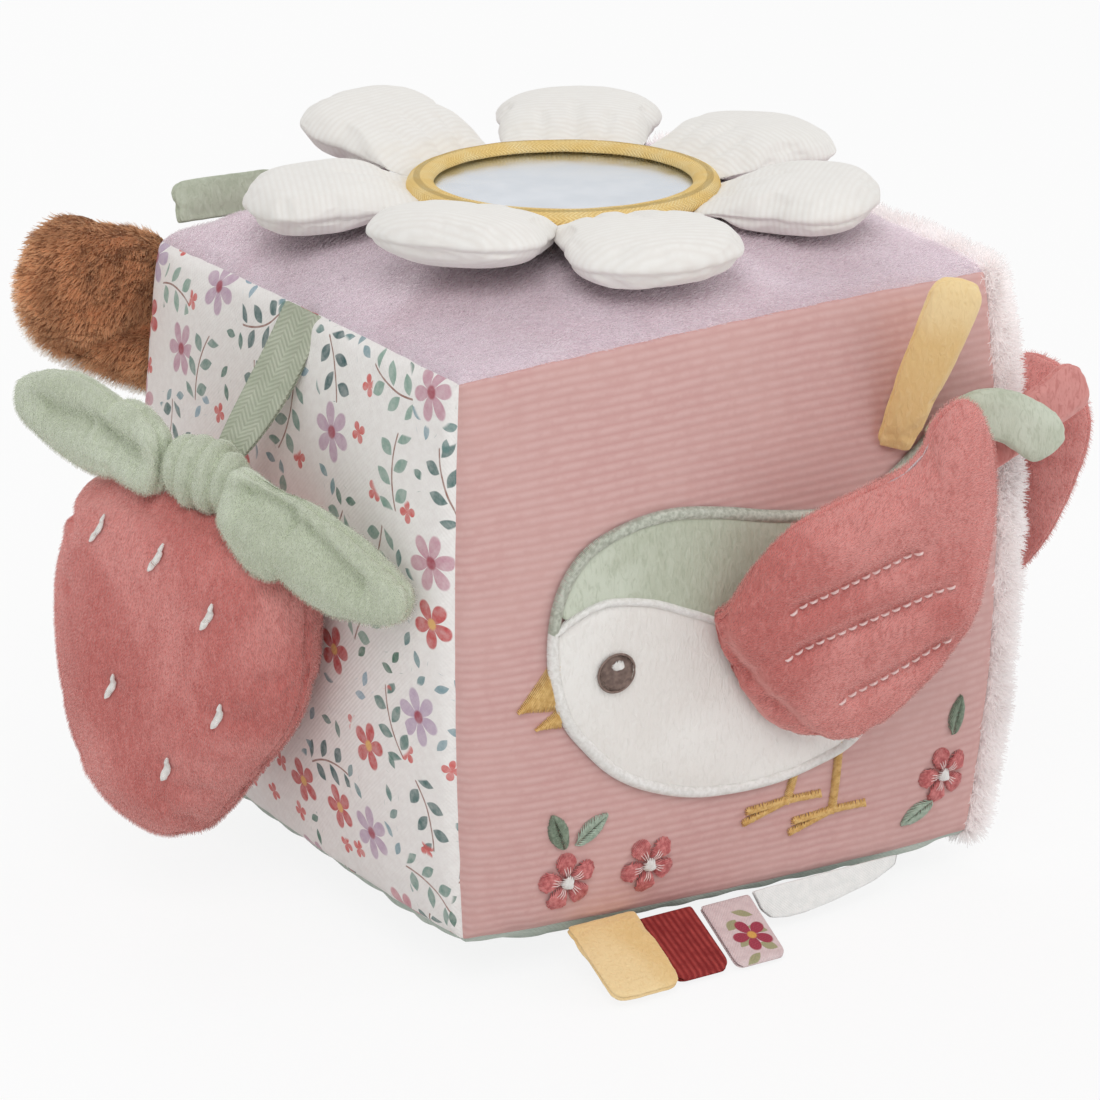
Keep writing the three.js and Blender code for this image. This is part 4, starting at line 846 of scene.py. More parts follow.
def cube_point(panel, u, v, crown_share=1.0):
    """A place of a panel, in metres: u and v run from seam to seam, from -1 to 1."""
    half, bows, power = panel["half"], panel["bows"], panel["power"]
    crown = panel["crown"] * crown_share * (1 - abs(u) ** power) * (1 - abs(v) ** power)
    out = half[2] + crown + u * u * bow(bows[0], v) + v * v * bow(bows[1], u)
    point = panel["u"] * (u * (half[0] + bow(bows[0], v)))
    point = point + panel["v"] * (v * (half[1] + bow(bows[1], u))) + panel["n"] * out
    point.z = MIDDLE_Z + point.z * (1 + RIGHT_RISE / HALF_HEIGHT * point.x / HALF_WIDTH)
    return point * MM


def eased(share):
    """Grid lines lie closer together towards the seams, where the cloth turns."""
    return 0.62 * share + 0.38 * math.sin(math.pi / 2 * share)


def panel_of(direction):
    return max(range(len(PANELS)), key=lambda index: direction.dot(PANELS[index]["n"]))


# %% Mesh helpers
def new_piece(name, bm):
    """A finished bmesh as an object in the scene."""
    mesh = bpy.data.meshes.new(name)
    bm.to_mesh(mesh)
    bm.free()
    piece = bpy.data.objects.new(name, mesh)
    scene.collection.objects.link(piece)
    mesh.shade_smooth()
    return piece


def dress(piece, cloth, body, slot, nodes=()):
    """The piece's material, the body it rides on, and what it stands in for."""
    piece.data.materials.clear()
    piece.data.materials.append(cloth)
    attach(piece, body)
    if nodes:
        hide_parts(*nodes)
    return piece


def baked(piece):
    """The piece's modifiers applied, by taking the mesh that they give."""
    graph = bpy.context.evaluated_depsgraph_get()
    mesh = bpy.data.meshes.new_from_object(piece.evaluated_get(graph))
    piece.modifiers.clear()
    piece.data = mesh
    return piece


@contextmanager
def edited(piece):
    """The piece's mesh as a bmesh, written back at the end."""
    bm = bmesh.new()
    bm.from_mesh(piece.data)
    bm.normal_update()
    yield bm
    bm.to_mesh(piece.data)
    bm.free()


def subdivided(piece, levels):
    if levels:
        step = piece.modifiers.new("finer", "SUBSURF")
        step.levels = step.render_levels = levels
        baked(piece)
    piece.data.shade_smooth()
    return piece


# %% [markdown]
# Blender's cloth does the stuffing. Pressure pushes the skin out, a little spare cloth (a negative
# shrink) gives it something to wrinkle with, and no point may move further than a set reach, so that
# a piece keeps to the room that its solid has in the model.

# %% Inflating
SIMULATED_FRAMES = 20
HELD = "held"


def inflate(piece, reach, held=(), pressure=16.0, spare=0.02, bending=0.05, allowed=None):
    """Blows a piece up by cloth simulation. reach and the result are in metres."""
    start = [vertex.co.copy() for vertex in piece.data.vertices]
    if held:
        group = piece.vertex_groups.new(name=HELD)
        group.add(list(held), 1.0, "REPLACE")
    cloth = piece.modifiers.new("stuffing", "CLOTH")
    settings = cloth.settings
    settings.quality = 5
    settings.mass = 0.05
    settings.use_pressure = True
    settings.uniform_pressure_force = pressure
    settings.tension_stiffness = settings.compression_stiffness = 8
    settings.shear_stiffness = 4
    settings.bending_stiffness = bending
    settings.shrink_min = -spare
    settings.effector_weights.gravity = 0
    if held:
        settings.vertex_group_mass = HELD
    cloth.point_cache.frame_start = 1
    cloth.point_cache.frame_end = SIMULATED_FRAMES
    for number in range(1, SIMULATED_FRAMES + 1):
        scene.frame_set(number)
    blown = piece.evaluated_get(bpy.context.evaluated_depsgraph_get()).data
    furthest = 0.0
    for vertex, before, after in zip(piece.data.vertices, start, blown.vertices):
        move = after.co - before
        if allowed:
            move = allowed(vertex.index, before, move)
        if move.length > reach:
            move = move.normalized() * reach
        furthest = max(furthest, move.length)
        vertex.co = before + move
    piece.modifiers.clear()
    piece.vertex_groups.clear()
    scene.frame_set(1)
    print(piece.name, "moved up to", round(furthest / MM, 2), "mm")
    return piece


# %% Cube: one closed skin
COVER_SLACK = 0.72
COVER_REACH = 3.2 * MM
COVER_OVER = 0.5 * MM


def cover_mesh():
    bm = bmesh.new()
    bmesh.ops.create_cube(bm, size=2)
    bmesh.ops.subdivide_edges(bm, edges=bm.edges[:], cuts=CUBE_CELLS - 1, use_grid_fill=True)
    which = bm.faces.layers.int.new("panel")
    chart = bm.loops.layers.uv.new("cloth")
    for face in bm.faces:
        face[which] = panel_of(face.normal)
        panel = PANELS[face[which]]
        for loop in face.loops:
            u, v = eased(loop.vert.co.dot(panel["u"])), eased(loop.vert.co.dot(panel["v"]))
            loop[chart].uv = (u * panel["half"][0] * MM, v * panel["half"][1] * MM)
    homes = []
    for vertex in bm.verts:
        index = panel_of(vertex.co)
        panel = PANELS[index]
        u, v = eased(vertex.co.dot(panel["u"])), eased(vertex.co.dot(panel["v"]))
        homes.append((index, u, v))
    for vertex, (index, u, v) in zip(bm.verts, homes):
        slack = COVER_SLACK
        vertex.co = cube_point(PANELS[index], u, v, slack)
    return bm, homes


def make_skin():
    bm, homes = cover_mesh()
    skin = new_piece("skin", bm)
    held = [i for i, (_, u, v) in enumerate(homes) if max(abs(u), abs(v)) > 0.999]

    def allowed(index, before, move):
        """Never proud of the model's own skin by more than a hair, and never under the floor."""
        which, u, v = homes[index]
        out = PANELS[which]["n"]
        top = (cube_point(PANELS[which], u, v) - before).dot(out) + COVER_OVER
        proud = move.dot(out)
        return move - out * max(proud - top, 0.0)

    inflate(skin, COVER_REACH, held, pressure=30.0, spare=0.012, bending=0.2, allowed=allowed)
    return subdivided(skin, 2)


skin = make_skin()
print("skin", len(skin.data.polygons), "faces")

# %% [markdown]
# The seams come after the simulation: next to each seam the cloth dips, and the tight stitches gather
# it into small puckers that fade towards the middle of the panel. A bottom that stands on the floor
# is pressed flat.

# %% Cube: seams, puckers and standing
SEAM_DIP = 1.3 * MM
SEAM_REACH = 2.4 * MM
PUCKER = 0.42 * MM
PUCKER_REACH = 11 * MM
SOFT_DENT = 0.9 * MM


def from_seam(chart_place, panel):
    u, v = abs(chart_place[0]), abs(chart_place[1])
    return min(panel["half"][0] * MM - u, panel["half"][1] * MM - v)


def sew_cube(bm):
    which = bm.faces.layers.int["panel"]
    chart = bm.loops.layers.uv["cloth"]
    bm.normal_update()
    moves = {}
    for vertex in bm.verts:
        loop = vertex.link_loops[0]
        panel = PANELS[loop.face[which]]
        gap = max(from_seam(loop[chart].uv, panel), 0.0)
        dip = SEAM_DIP * math.exp(-((gap / SEAM_REACH) ** 2))
        near = math.exp(-((gap / PUCKER_REACH) ** 2)) * min(gap / SEAM_REACH, 1.0)
        pucker = PUCKER * near * noise.noise(vertex.co * 130)
        dent = SOFT_DENT * noise.noise(vertex.co * 28 + Vector((3, 1, 7))) * min(gap / PUCKER_REACH, 1.0)
        moves[vertex] = vertex.normal * (pucker + dent - dip)
    for vertex, move in moves.items():
        vertex.co += move
        vertex.co.z = max(vertex.co.z, 0.0)


def cut_panels():
    bm = bmesh.new()
    bm.from_mesh(skin.data)
    sew_cube(bm)
    made = {}
    for index, panel in enumerate(PANELS):
        part = bm.copy()
        which = part.faces.layers.int["panel"]
        others = [face for face in part.faces if face[which] != index]
        bmesh.ops.delete(part, geom=others, context="FACES")
        name = panel["name"]
        made[name] = dress(new_piece(name + "_cloth", part), panel["cloth"], BLOCK, panel["slot"],
                           [name + "_panel"])
    bm.free()
    bpy.data.objects.remove(skin)
    return made


panels = cut_panels()
print("panels", {name: len(piece.data.polygons) for name, piece in panels.items()})

# %% [markdown]
# Everything sewn on the front has to lie on the cloth as it really came out, so its height is read
# off the finished panel by a ray, and then lifted a little along the panel's own normal.

# %% Finding the cloth


def tree_of(piece):
    mesh = piece.data
    return BVHTree.FromPolygons([v.co for v in mesh.vertices], [f.vertices for f in mesh.polygons])


front_tree = tree_of(panels["front"])
FAR_OUT = -0.3


def on_front(x, z, lift=0.0):
    """The place on the front cloth at x and z, in millimetres, lifted off it by some millimetres."""
    hit, normal, _, _ = front_tree.ray_cast(Vector((x * MM, FAR_OUT, z * MM)), Y)
    if hit is None:
        hit, normal, _, _ = front_tree.find_nearest(Vector((x * MM, -HALF_WIDTH * MM, z * MM)))
    return hit + normal * (lift * MM)


print("front stands at", [round(x, 4) for x in on_front(0, MIDDLE_Z)])

# %% [markdown]
# Stuffed pieces start from their own solid in the model: the loose triangles are merged, a voxel
# remesh makes an even skin, the skin is taken in a little and blown up by the simulation. The sewn
# edge comes after that, because a remesh would wipe it out: a groove round the side where the two
# cloths meet, at its own height.

# %% Padded pieces


def hinge_frame(origin, along, across, lift=0.0):
    """A sewn-on piece's own directions: along its root, out from it, and off its face."""
    along = along.normalized()
    turn = Matrix.Rotation(math.radians(lift), 3, along)
    basis = Matrix((along, turn @ across, turn @ along.cross(across))).transposed().to_4x4()
    basis.translation = Vector(origin) * MM
    return basis


def turned(degrees, first, second):
    angle = math.radians(degrees)
    return first * math.cos(angle) + second * math.sin(angle)


def solid_copy(name, nodes, local=None, closed_by=0.0):
    """The merged mesh of some nodes; closed_by brings the two covers of a pad together first."""
    bm = bmesh.new()
    back = local.inverted() if local else None
    for node in nodes:
        part = bmesh.new()
        part.from_mesh(frame["nodes"][node].data)
        bmesh.ops.remove_doubles(part, verts=part.verts[:], dist=1e-6)
        if closed_by:
            middle = sum(((back @ v.co).z for v in part.verts), 0.0) / len(part.verts)
            shift = local.to_3x3() @ Vector((0, 0, -math.copysign(closed_by * MM, middle)))
            bmesh.ops.translate(part, verts=part.verts[:], vec=shift)
        passing = bpy.data.meshes.new("passing")
        part.to_mesh(passing)
        part.free()
        bm.from_mesh(passing)
        bpy.data.meshes.remove(passing)
    return new_piece(name, bm)


def remeshed(piece, voxel, smoothing=3):
    step = piece.modifiers.new("even", "REMESH")
    step.mode = "VOXEL"
    step.voxel_size = voxel * MM
    with edited(baked(piece)) as bm:
        for _ in range(smoothing):
            bmesh.ops.smooth_vert(bm, verts=bm.verts[:], factor=0.5, use_axis_x=True, use_axis_y=True,
                                  use_axis_z=True)
    return piece


def reshaped(piece, move_of):
    """Every vertex moved by what a function of its place and normal gives, in metres."""
    with edited(piece) as bm:
        moves = [(vertex, move_of(vertex.co, vertex.normal)) for vertex in bm.verts]
        for vertex, move in moves:
            vertex.co += move
    return piece


def sewn_edge(piece, local, level, depth, width, wobble=0.25):
    """The seam round the side of a pad, at a height off its middle plane, in millimetres."""
    back = local.inverted()
    out = local.to_3x3() @ Z

    def move_of(place, normal):
        height = (back @ place).z / MM - level
        side = 1 - abs(normal.dot(out)) ** 2
        dip = depth * math.exp(-((height / width) ** 2)) * side
        pucker = wobble * noise.noise(place * 320) * side * math.exp(-((height / (3 * width)) ** 2))
        return normal * ((pucker - dip) * MM)

    return reshaped(piece, move_of)


def creased(piece, local, lines, side=1):
    """Folds pressed into one face: each line has two ends in the piece's own plane, depth and width."""
    back = local.inverted()
    out = (local.to_3x3() @ Z) * side

    def move_of(place, normal):
        facing = max(normal.dot(out), 0.0)
        here = (back @ place) / MM
        dip = 0.0
        for start, end, depth, width in lines:
            start, end = Vector(start), Vector(end)
            run = end - start
            share = max(0.0, min(1.0, (here.xy - start).dot(run) / run.length_squared))
            away = (here.xy - start - run * share).length
            ease = min(1.0, 6 * min(share, 1 - share) + 0.35)
            dip += depth * ease * math.exp(-((away / width) ** 2))
        return out * (-dip * facing * MM)

    return reshaped(piece, move_of)


def soft_waves(piece, size, most, shift=0.0):
    """Slow uneven swelling, as loose stuffing gives."""

    def move_of(place, normal):
        return normal * (most * MM * noise.noise(place * (1000 / size) + Vector((shift, 0, shift))))

    return reshaped(piece, move_of)


def shaped(piece, local, change):
    """Every vertex moved in the piece's own frame, in millimetres, by a function that changes it."""
    back = local.inverted()
    for vertex in piece.data.vertices:
        here = (back @ vertex.co) / MM
        vertex.co = local @ (change(here) * MM)
    return piece


def own_box(piece, local):
    back = local.inverted()
    places = [(back @ vertex.co) / MM for vertex in piece.data.vertices]
    return [(min(p[axis] for p in places), max(p[axis] for p in places)) for axis in range(3)]


def fitted(piece, local, wanted):
    """Brings a smoothed piece back to the outline that its solid has, by two plain scales."""
    now = own_box(piece, local)

    def change(here):
        for axis in (0, 1):
            (low, high), (to_low, to_high) = now[axis], wanted[axis]
            here[axis] = to_low + (here[axis] - low) * (to_high - to_low) / (high - low)
        return here

    return shaped(piece, local, change)


def charted(piece, local):
    """A map in metres from the piece's own frame, for cloth with a pattern."""
    back = local.inverted()
    chart = piece.data.uv_layers.new(name="cloth")
    for loop in piece.data.loops:
        chart.data[loop.index].uv = (back @ piece.data.vertices[loop.vertex_index].co).xy


THICKER = 2.2


def near_root(place):
    return place.y < 2.0


def padded_piece(name, nodes, local, cloth, body, slot, voxel, reach, closed_by=0.0, seam=None,
                 held=near_root, change=None):
    """A stuffed piece from its solid. It is remeshed thicker than it is, which keeps its thin rim."""
    piece = solid_copy(name, nodes, local, closed_by)
    wanted = own_box(piece, local)
    shaped(piece, local, lambda here: Vector((here.x, here.y, here.z * THICKER)))
    remeshed(piece, voxel)
    shaped(piece, local, lambda here: Vector((here.x, here.y, here.z / THICKER)))
    if change:
        shaped(piece, local, change)
    reshaped(piece, lambda place, normal: normal * (-0.3 * reach * MM))
    back = local.inverted()
    fixed = [v.index for v in piece.data.vertices if held((back @ v.co) / MM)]
    inflate(piece, reach * MM, fixed)
    subdivided(piece, 1)
    if not change:
        fitted(piece, local, wanted)
    if seam:
        sewn_edge(piece, local, *seam)
    return dress(piece, cloth, body, slot, nodes)


# %% [markdown]
# Inside the covers lie the filling and, in a pocket, the rattle. Neither shows, but the filling is
# a soft body too, so it gets a puffed mesh of its own that stays inside the panels.

# %% Filling and rattle
filling = remeshed(solid_copy("soft_filling", ["filling_block"]), 6.0, 4)
soft_waves(filling, 22, 0.6)
dress(filling, FILLING, BLOCK, "filling", ["filling_block"])


def dressed(node, material):
    """A model node kept as it is, with a finished material."""
    mesh = frame["nodes"][node].data
    mesh.materials.clear()
    mesh.materials.append(material)


dressed("rattle_ball", RATTLE)
dressed("mirror_disc", FOIL)
dressed("wing_crinkle_film", FILM)

# %% [markdown]
# The daisy lies on the crown of the top: a round backing, the mirror, a woven band that holds it, and
# seven thick petals of fine-ribbed velour. A petal's two cloths meet a third of the way up its side,
# and the cloth is drawn into soft folds where it is gathered under the band.

# %% Daisy: petals
PETAL_LIFTS = [-3, 0.5, 0.5, 3, 12, -4, 5]
PETAL_HINGE_Z = 168.4855
PETAL_FOLDS = [
    ((-7.0, 0.0), (-8.5, 13.0), 0.9, 1.5),
    ((0.5, 0.0), (0.0, 17.0), 0.9, 1.6),
    ((7.5, 0.0), (9.0, 12.0), 0.8, 1.4),
]
joints = {joint["name"]: joint for joint in frame["joints"]}


def petal_frame(number):
    hinge = Vector(joints[f"petal_{number}_fold"]["pos_m"]) / MM
    angle = math.degrees(math.atan2(hinge.y, hinge.x))
    origin = (hinge.x, hinge.y, PETAL_HINGE_Z)
    return hinge_frame(origin, turned(angle - 90, X, Y), turned(angle, X, Y), PETAL_LIFTS[number - 1])


PETAL_ROOT_REACH, PETAL_ROOT_WIDER, PETAL_ROOT_FLAT = 17.0, 0.42, 0.55
PETAL_ROOT_LOW, PETAL_ROOT_IN = 1.7, 3.5
PETAL_WIDER = 1.03


def petal_change(here):
    """The petal stays wide, but thins out towards the band and runs in under it."""
    near = max(0.0, 1 - here.y / PETAL_ROOT_REACH)
    here.x *= PETAL_WIDER + PETAL_ROOT_WIDER * near
    here.z = here.z * (1 - PETAL_ROOT_FLAT * near) - PETAL_ROOT_LOW * near * near
    here.y = here.y * PETAL_WIDER - PETAL_ROOT_IN * near
    return here


for number in range(1, len(PETAL_LIFTS) + 1):
    name = f"petal_{number}"
    local = petal_frame(number)
    petal = padded_piece(
        f"{name}_velour", [name], local, WHITE_RIB, name, "off_white_plush", voxel=1.4, reach=1.6,
        seam=(-1.8, 0.9, 0.8), change=petal_change,
    )
    creased(petal, local, PETAL_FOLDS)
    soft_waves(petal, 14, 0.5, shift=number)
    charted(petal, local)
print("petals", len(PETAL_LIFTS))

# %% Daisy: backing and woven band
MIRROR_MIDDLE_LOW = 166.2
RING_OUTER, RING_INNER = 37.9, 31.0
RING_TURNS = 96


def woven_ring():
    """The band's section, a low soft arch with a steep inner wall, spun round the mirror."""
    section = [
        (37.0, 0.1), (37.75, 0.9), (37.85, 2.4), (37.3, 3.7), (36.2, 4.3), (34.4, 4.45),
        (32.6, 4.3), (31.4, 3.8), (31.0, 2.9), (31.1, 2.0), (33.6, 1.95), (33.85, 0.2),
    ]
    bm = bmesh.new()
    chart = bm.loops.layers.uv.new("cloth")
    points = [bm.verts.new(Vector((r, 0, MIRROR_MIDDLE_LOW + h)) * MM) for r, h in section]
    edges = [bm.edges.new((a, b)) for a, b in zip(points, points[1:] + points[:1])]
    bmesh.ops.spin(bm, geom=points + edges, cent=(0, 0, 0), axis=(0, 0, 1), angle=math.tau,
                   steps=RING_TURNS, use_merge=True)
    bmesh.ops.remove_doubles(bm, verts=bm.verts[:], dist=1e-7)
    bmesh.ops.recalc_face_normals(bm, faces=bm.faces[:])
    middle = (RING_OUTER + RING_INNER) / 2 * MM
    for face in bm.faces:
        centre = face.calc_center_median()
        around = math.atan2(centre.y, centre.x)
        for loop in face.loops:
            place = loop.vert.co
            angle = math.atan2(place.y, place.x)
            angle += math.tau * round((around - angle) / (math.tau))
            rise = place.z - MIRROR_MIDDLE_LOW * MM
            across = math.hypot(place.x, place.y) - (rise if place.xy.length > middle else -rise)
            loop[chart].uv = (across, angle * middle)
    piece = new_piece("mirror_band", bm)
    reshaped(piece, lambda place, normal: normal * (0.16 * MM * noise.noise(place * 160)))
    subdivided(piece, 1)
    dress(piece, MUSTARD, BLOCK, "mustard_cloth", ["mirror_ring"])


woven_ring()
backing = remeshed(solid_copy("mirror_backing_velour", ["mirror_backing"]), 1.1, 2)
dress(backing, OFF_WHITE, BLOCK, "off_white_plush", ["mirror_backing"])

# %% [markdown]
# The bird is appliqué: two patches of cloth laid on the front, slightly puffed, their raw edge
# covered by a dense border of satin stitch. The patches start from the model's thin solids, are made
# five times as thick for the remesh, so that their edge rounds off, and go back on the cloth.

# %% Bird: patches
PATCH_STRETCH = 5.0
PATCH_UNDER = 1.0


def front_out(x, z):
    """How far out the model's own front stands at x and z, in millimetres."""
    v = (z - MIDDLE_Z) / HALF_HEIGHT
    u = x / (HALF_WIDTH + bow(3.8, v))
    v = (z - MIDDLE_Z) / (HALF_HEIGHT + bow(1.2, u))
    return -cube_point(PANELS[0], u, v).y / MM


def applique(name, node, cloth, slot, voxel=1.25, puff=1.0):
    piece = solid_copy(name, [node])
    for vertex in piece.data.vertices:
        x, z = vertex.co.x / MM, vertex.co.z / MM
        raised = -vertex.co.y / MM - front_out(x, z)
        vertex.co.y = -raised * PATCH_STRETCH * MM
    remeshed(piece, voxel, 4)
    reshaped(piece, lambda place, normal: Vector((normal.x, 0, normal.z)) * (PATCH_UNDER * MM))
    for vertex in piece.data.vertices:
        x, z = vertex.co.x / MM, vertex.co.z / MM
        raised = -vertex.co.y / MM / PATCH_STRETCH
        soft = 0.12 * noise.noise(vertex.co * 90)
        vertex.co = on_front(x, z, (raised * puff + soft) if raised > 0.6 else raised - 0.2)
    subdivided(piece, 1)
    return dress(piece, cloth, BLOCK, slot, [node])


applique("bird_belly_velour", "bird_belly_patch", OFF_WHITE, "off_white_plush")
applique("bird_back_velour", "bird_back_patch", SAGE, "sage_velour")

# %% [markdown]
# All the embroidery is made of real threads. A thread is a poly curve with a thickness, so hundreds of
# them stay light, and satin() fills any outline with slightly arched threads side by side.

# %% Threads
THREAD = 0.42


def sew(name, paths, cloth, body, slot, nodes=(), thickness=THREAD):
    """Threads along paths of points in metres, as one mesh."""
    curve = bpy.data.curves.new(name, "CURVE")
    curve.dimensions = "3D"
    curve.bevel_depth = thickness / 2 * MM
    curve.bevel_resolution = 0
    curve.use_fill_caps = True
    for path in paths:
        line = curve.splines.new("POLY")
        line.points.add(len(path) - 1)
        for index, (point, place) in enumerate(zip(line.points, path)):
            point.co = (*place, 1)
            point.radius = 0.55 if index in (0, len(path) - 1) else 1.0
    threads = bpy.data.objects.new(name + "_lines", curve)
    scene.collection.objects.link(threads)
    mesh = bpy.data.meshes.new_from_object(threads.evaluated_get(bpy.context.evaluated_depsgraph_get()))
    bpy.data.objects.remove(threads)
    mesh.name = name
    piece = bpy.data.objects.new(name, mesh)
    scene.collection.objects.link(piece)
    mesh.shade_smooth()
    return dress(piece, cloth, body, slot, nodes)


def crossings(outline, height):
    """Where a level line cuts a closed outline, from left to right."""
    found = []
    for (x1, y1), (x2, y2) in zip(outline, outline[1:] + outline[:1]):
        if (y1 > height) != (y2 > height):
            found.append(x1 + (height - y1) * (x2 - x1) / (y2 - y1))
    return sorted(found)


def satin(outline, degrees, lift, surface, pitch=0.36, points=5, seed=1, ragged=0.25):
    """Threads that fill an outline, lying at an angle, arched off the surface."""
    chance = random.Random(seed)
    angle = math.radians(degrees)
    cosine, sine = math.cos(angle), math.sin(angle)
    level = [(x * cosine + y * sine, -x * sine + y * cosine) for x, y in outline]
    low, high = min(y for _, y in level), max(y for _, y in level)
    paths = []
    height = low + pitch / 2
    while height < high:
        ends = crossings(level, height)
        for left, right in zip(ends[::2], ends[1::2]):
            left -= chance.uniform(0.0, ragged)
            right += chance.uniform(0.0, ragged)
            path = []
            for step in range(points):
                share = step / (points - 1)
                along = left + (right - left) * share
                arch = lift * math.sin(math.pi * share) ** 0.5
                x, y = along * cosine - height * sine, along * sine + height * cosine
                path.append(surface(x, y, 0.1 + arch))
            paths.append(path)
        height += pitch
    return paths


def smooth_line(corners, per_corner=8, closed=True):
    """A Catmull-Rom curve through corners, as points."""
    count = len(corners)
    points = []
    spans = count if closed else count - 1
    for index in range(spans):
        if closed:
            picked = [corners[(index + shift) % count] for shift in (-1, 0, 1, 2)]
        else:
            picked = [corners[min(max(index + shift, 0), count - 1)] for shift in (-1, 0, 1, 2)]
        p0, p1, p2, p3 = (Vector(corner) for corner in picked)
        for step in range(per_corner):
            t = step / per_corner
            points.append(0.5 * (2 * p1 + (p2 - p0) * t + (2 * p0 - 5 * p1 + 4 * p2 - p3) * t * t
                                 + (3 * p1 - p0 - 3 * p2 + p3) * t ** 3))
    if not closed:
        points.append(Vector(corners[-1]))
    return points


def evenly(points, step, closed=True):
    """The same line with points a step apart, each with its direction."""
    line = points + points[:1] if closed else points
    spaced, carry = [], 0.0
    for start, end in zip(line, line[1:]):
        run = end - start
        length = run.length
        if length < 1e-9:
            continue
        while carry < length:
            spaced.append((start + run * (carry / length), run / length))
            carry += step
        carry -= length
    return spaced


# %% Bird: stitched border
BIRD_LEFT, BIRD_BOTTOM, BIRD_LENGTH, BIRD_HEIGHT = -53.2, 40.7, 110.2, 78.8
BIRD_SHARES = [
    (0, .524), (.015, .702), (.074, .824), (.167, .879), (.283, .897), (.41, .872), (.537, .831),
    (.664, .806), (.764, .824), (.837, .874), (.909, .937), (.982, 1), (1, .918), (.964, .727),
    (.918, .473), (.855, .245), (.764, .082), (.655, .025), (.526, 0), (.372, .015), (.247, .07),
    (.156, .143), (.083, .245), (.029, .353),
]
SEAM_SHARES = [
    (-.02, .59), (.035, .637), (.09, .668), (.142, .673), (.237, .645), (.334, .588), (.437, .53),
    (.592, .499), (.755, .549), (.882, .689), (.99, .87),
]
BORDER_WIDTH, SEAM_WIDTH = 3.0, 2.0
BORDER_ARCH = 1.3
STITCH_STEP = 0.34


def on_bird(shares):
    return [(BIRD_LEFT + a * BIRD_LENGTH, BIRD_BOTTOM + b * BIRD_HEIGHT) for a, b in shares]


def height_of(line, x):
    """The height of a line that runs left to right, at x."""
    for start, end in zip(line, line[1:]):
        if start.x <= x <= end.x:
            return start.y + (end.y - start.y) * (x - start.x) / max(end.x - start.x, 1e-6)
    return line[0].y if x < line[0].x else line[-1].y


def across_line(place, run, width, arch, low, lean=0.35, points=6):
    """One stitch across a line."""
    side = Vector((-run.y, run.x)) + run * lean
    path = []
    for step in range(points):
        share = step / (points - 1)
        spot = place + side * (width * (share - 0.5))
        path.append(on_front(spot.x, spot.y, low + arch * math.sin(math.pi * share) ** 0.6))
    return path


bird_seam = smooth_line(on_bird(SEAM_SHARES), closed=False)
bird_outline = smooth_line(on_bird(BIRD_SHARES))
belly_stitches, back_stitches = [], []
for place, run in evenly(bird_outline, STITCH_STEP):
    over = place.y > height_of(bird_seam, place.x)
    (back_stitches if over else belly_stitches).append(
        across_line(place, run, BORDER_WIDTH, BORDER_ARCH, 0.6))
for place, run in evenly(bird_seam, STITCH_STEP, closed=False):
    inside = BIRD_LEFT < place.x < BIRD_LEFT + BIRD_LENGTH * 0.92
    if inside:
        belly_stitches.append(across_line(place, run, SEAM_WIDTH, BORDER_ARCH, 0.7))
sew("bird_border_white", belly_stitches, WHITE_THREAD, BLOCK, "white_thread",
    ["bird_stitched_border"])
sew("bird_border_grey", back_stitches, GREY_THREAD, BLOCK, "white_thread")
print("border stitches", len(belly_stitches), len(back_stitches))

# %% Bird: eye, beak and legs
EYE_X, EYE_Z, EYE_WIDE, EYE_HIGH = -37.5, 77.0, 4.7, 4.4
EYE_LIFT, EYE_SLANT = 1.75, 35


def oval(x, y, wide, high, count=28):
    angles = [math.tau * index / count for index in range(count)]
    return [(x + wide * math.cos(a), y + high * math.sin(a)) for a in angles]


def stitched(lift):
    """The front cloth as a surface that is this much higher, in millimetres."""
    return lambda x, z, rise: on_front(x, z, rise + lift)


eye = oval(EYE_X, EYE_Z, EYE_WIDE, EYE_HIGH)
eye_fill = satin(eye, EYE_SLANT, 0.55, stitched(EYE_LIFT - 0.3), points=7)
sew("bird_eye_fill", eye_fill, EYE_THREAD, BLOCK, "eye_thread", ["bird_eye"])
rim = oval(EYE_X, EYE_Z, EYE_WIDE + 0.1, EYE_HIGH + 0.1, 40)
eye_rim = [[on_front(x, z, EYE_LIFT + 0.35) for x, z in rim + rim[:1]]]
sew("bird_eye_rim", eye_rim, EYE_THREAD, BLOCK, "eye_thread", thickness=0.6)
glint = satin(oval(EYE_X + 0.2, EYE_Z + 1.9, 1.5, 1.1), EYE_SLANT, 0.5, stitched(EYE_LIFT + 0.35))
sew("bird_eye_glint", glint, WHITE_THREAD, BLOCK, "white_thread")

BEAK_SLANT = 112
UPPER_BEAK = [(-61.9, 71.2), (-52.0, 70.0), (-50.6, 75), (-51.6, 82.2), (-53.9, 81.6)]
LOWER_BEAK = [(-57.4, 66.4), (-50.6, 65.6), (-51.8, 70.4)]
TOE_WIDTH, TOE_SLANT = 2.2, 62
TOES = [(9.8, -0.4), (-11.6, -0.6), (-12.2, -3.6)]


def sewn_stroke(start, end, width):
    """A straight bar of satin stitch."""
    run = (end - start).normalized()
    side = Vector((-run.y, run.x)) * width / 2
    corners = [start - side, end - side, end + side, start + side]
    slant = math.degrees(math.atan2(run.y, run.x)) + TOE_SLANT
    return satin(corners, slant, 0.9, on_front, pitch=0.38)


def leg(top, foot):
    top, foot = Vector(top), Vector(foot)
    lines = sewn_stroke(top, foot - Vector((0, TOE_WIDTH / 3)), TOE_WIDTH)
    for toe in TOES:
        lines += sewn_stroke(foot, foot + Vector(toe), TOE_WIDTH * 0.8)
    return lines


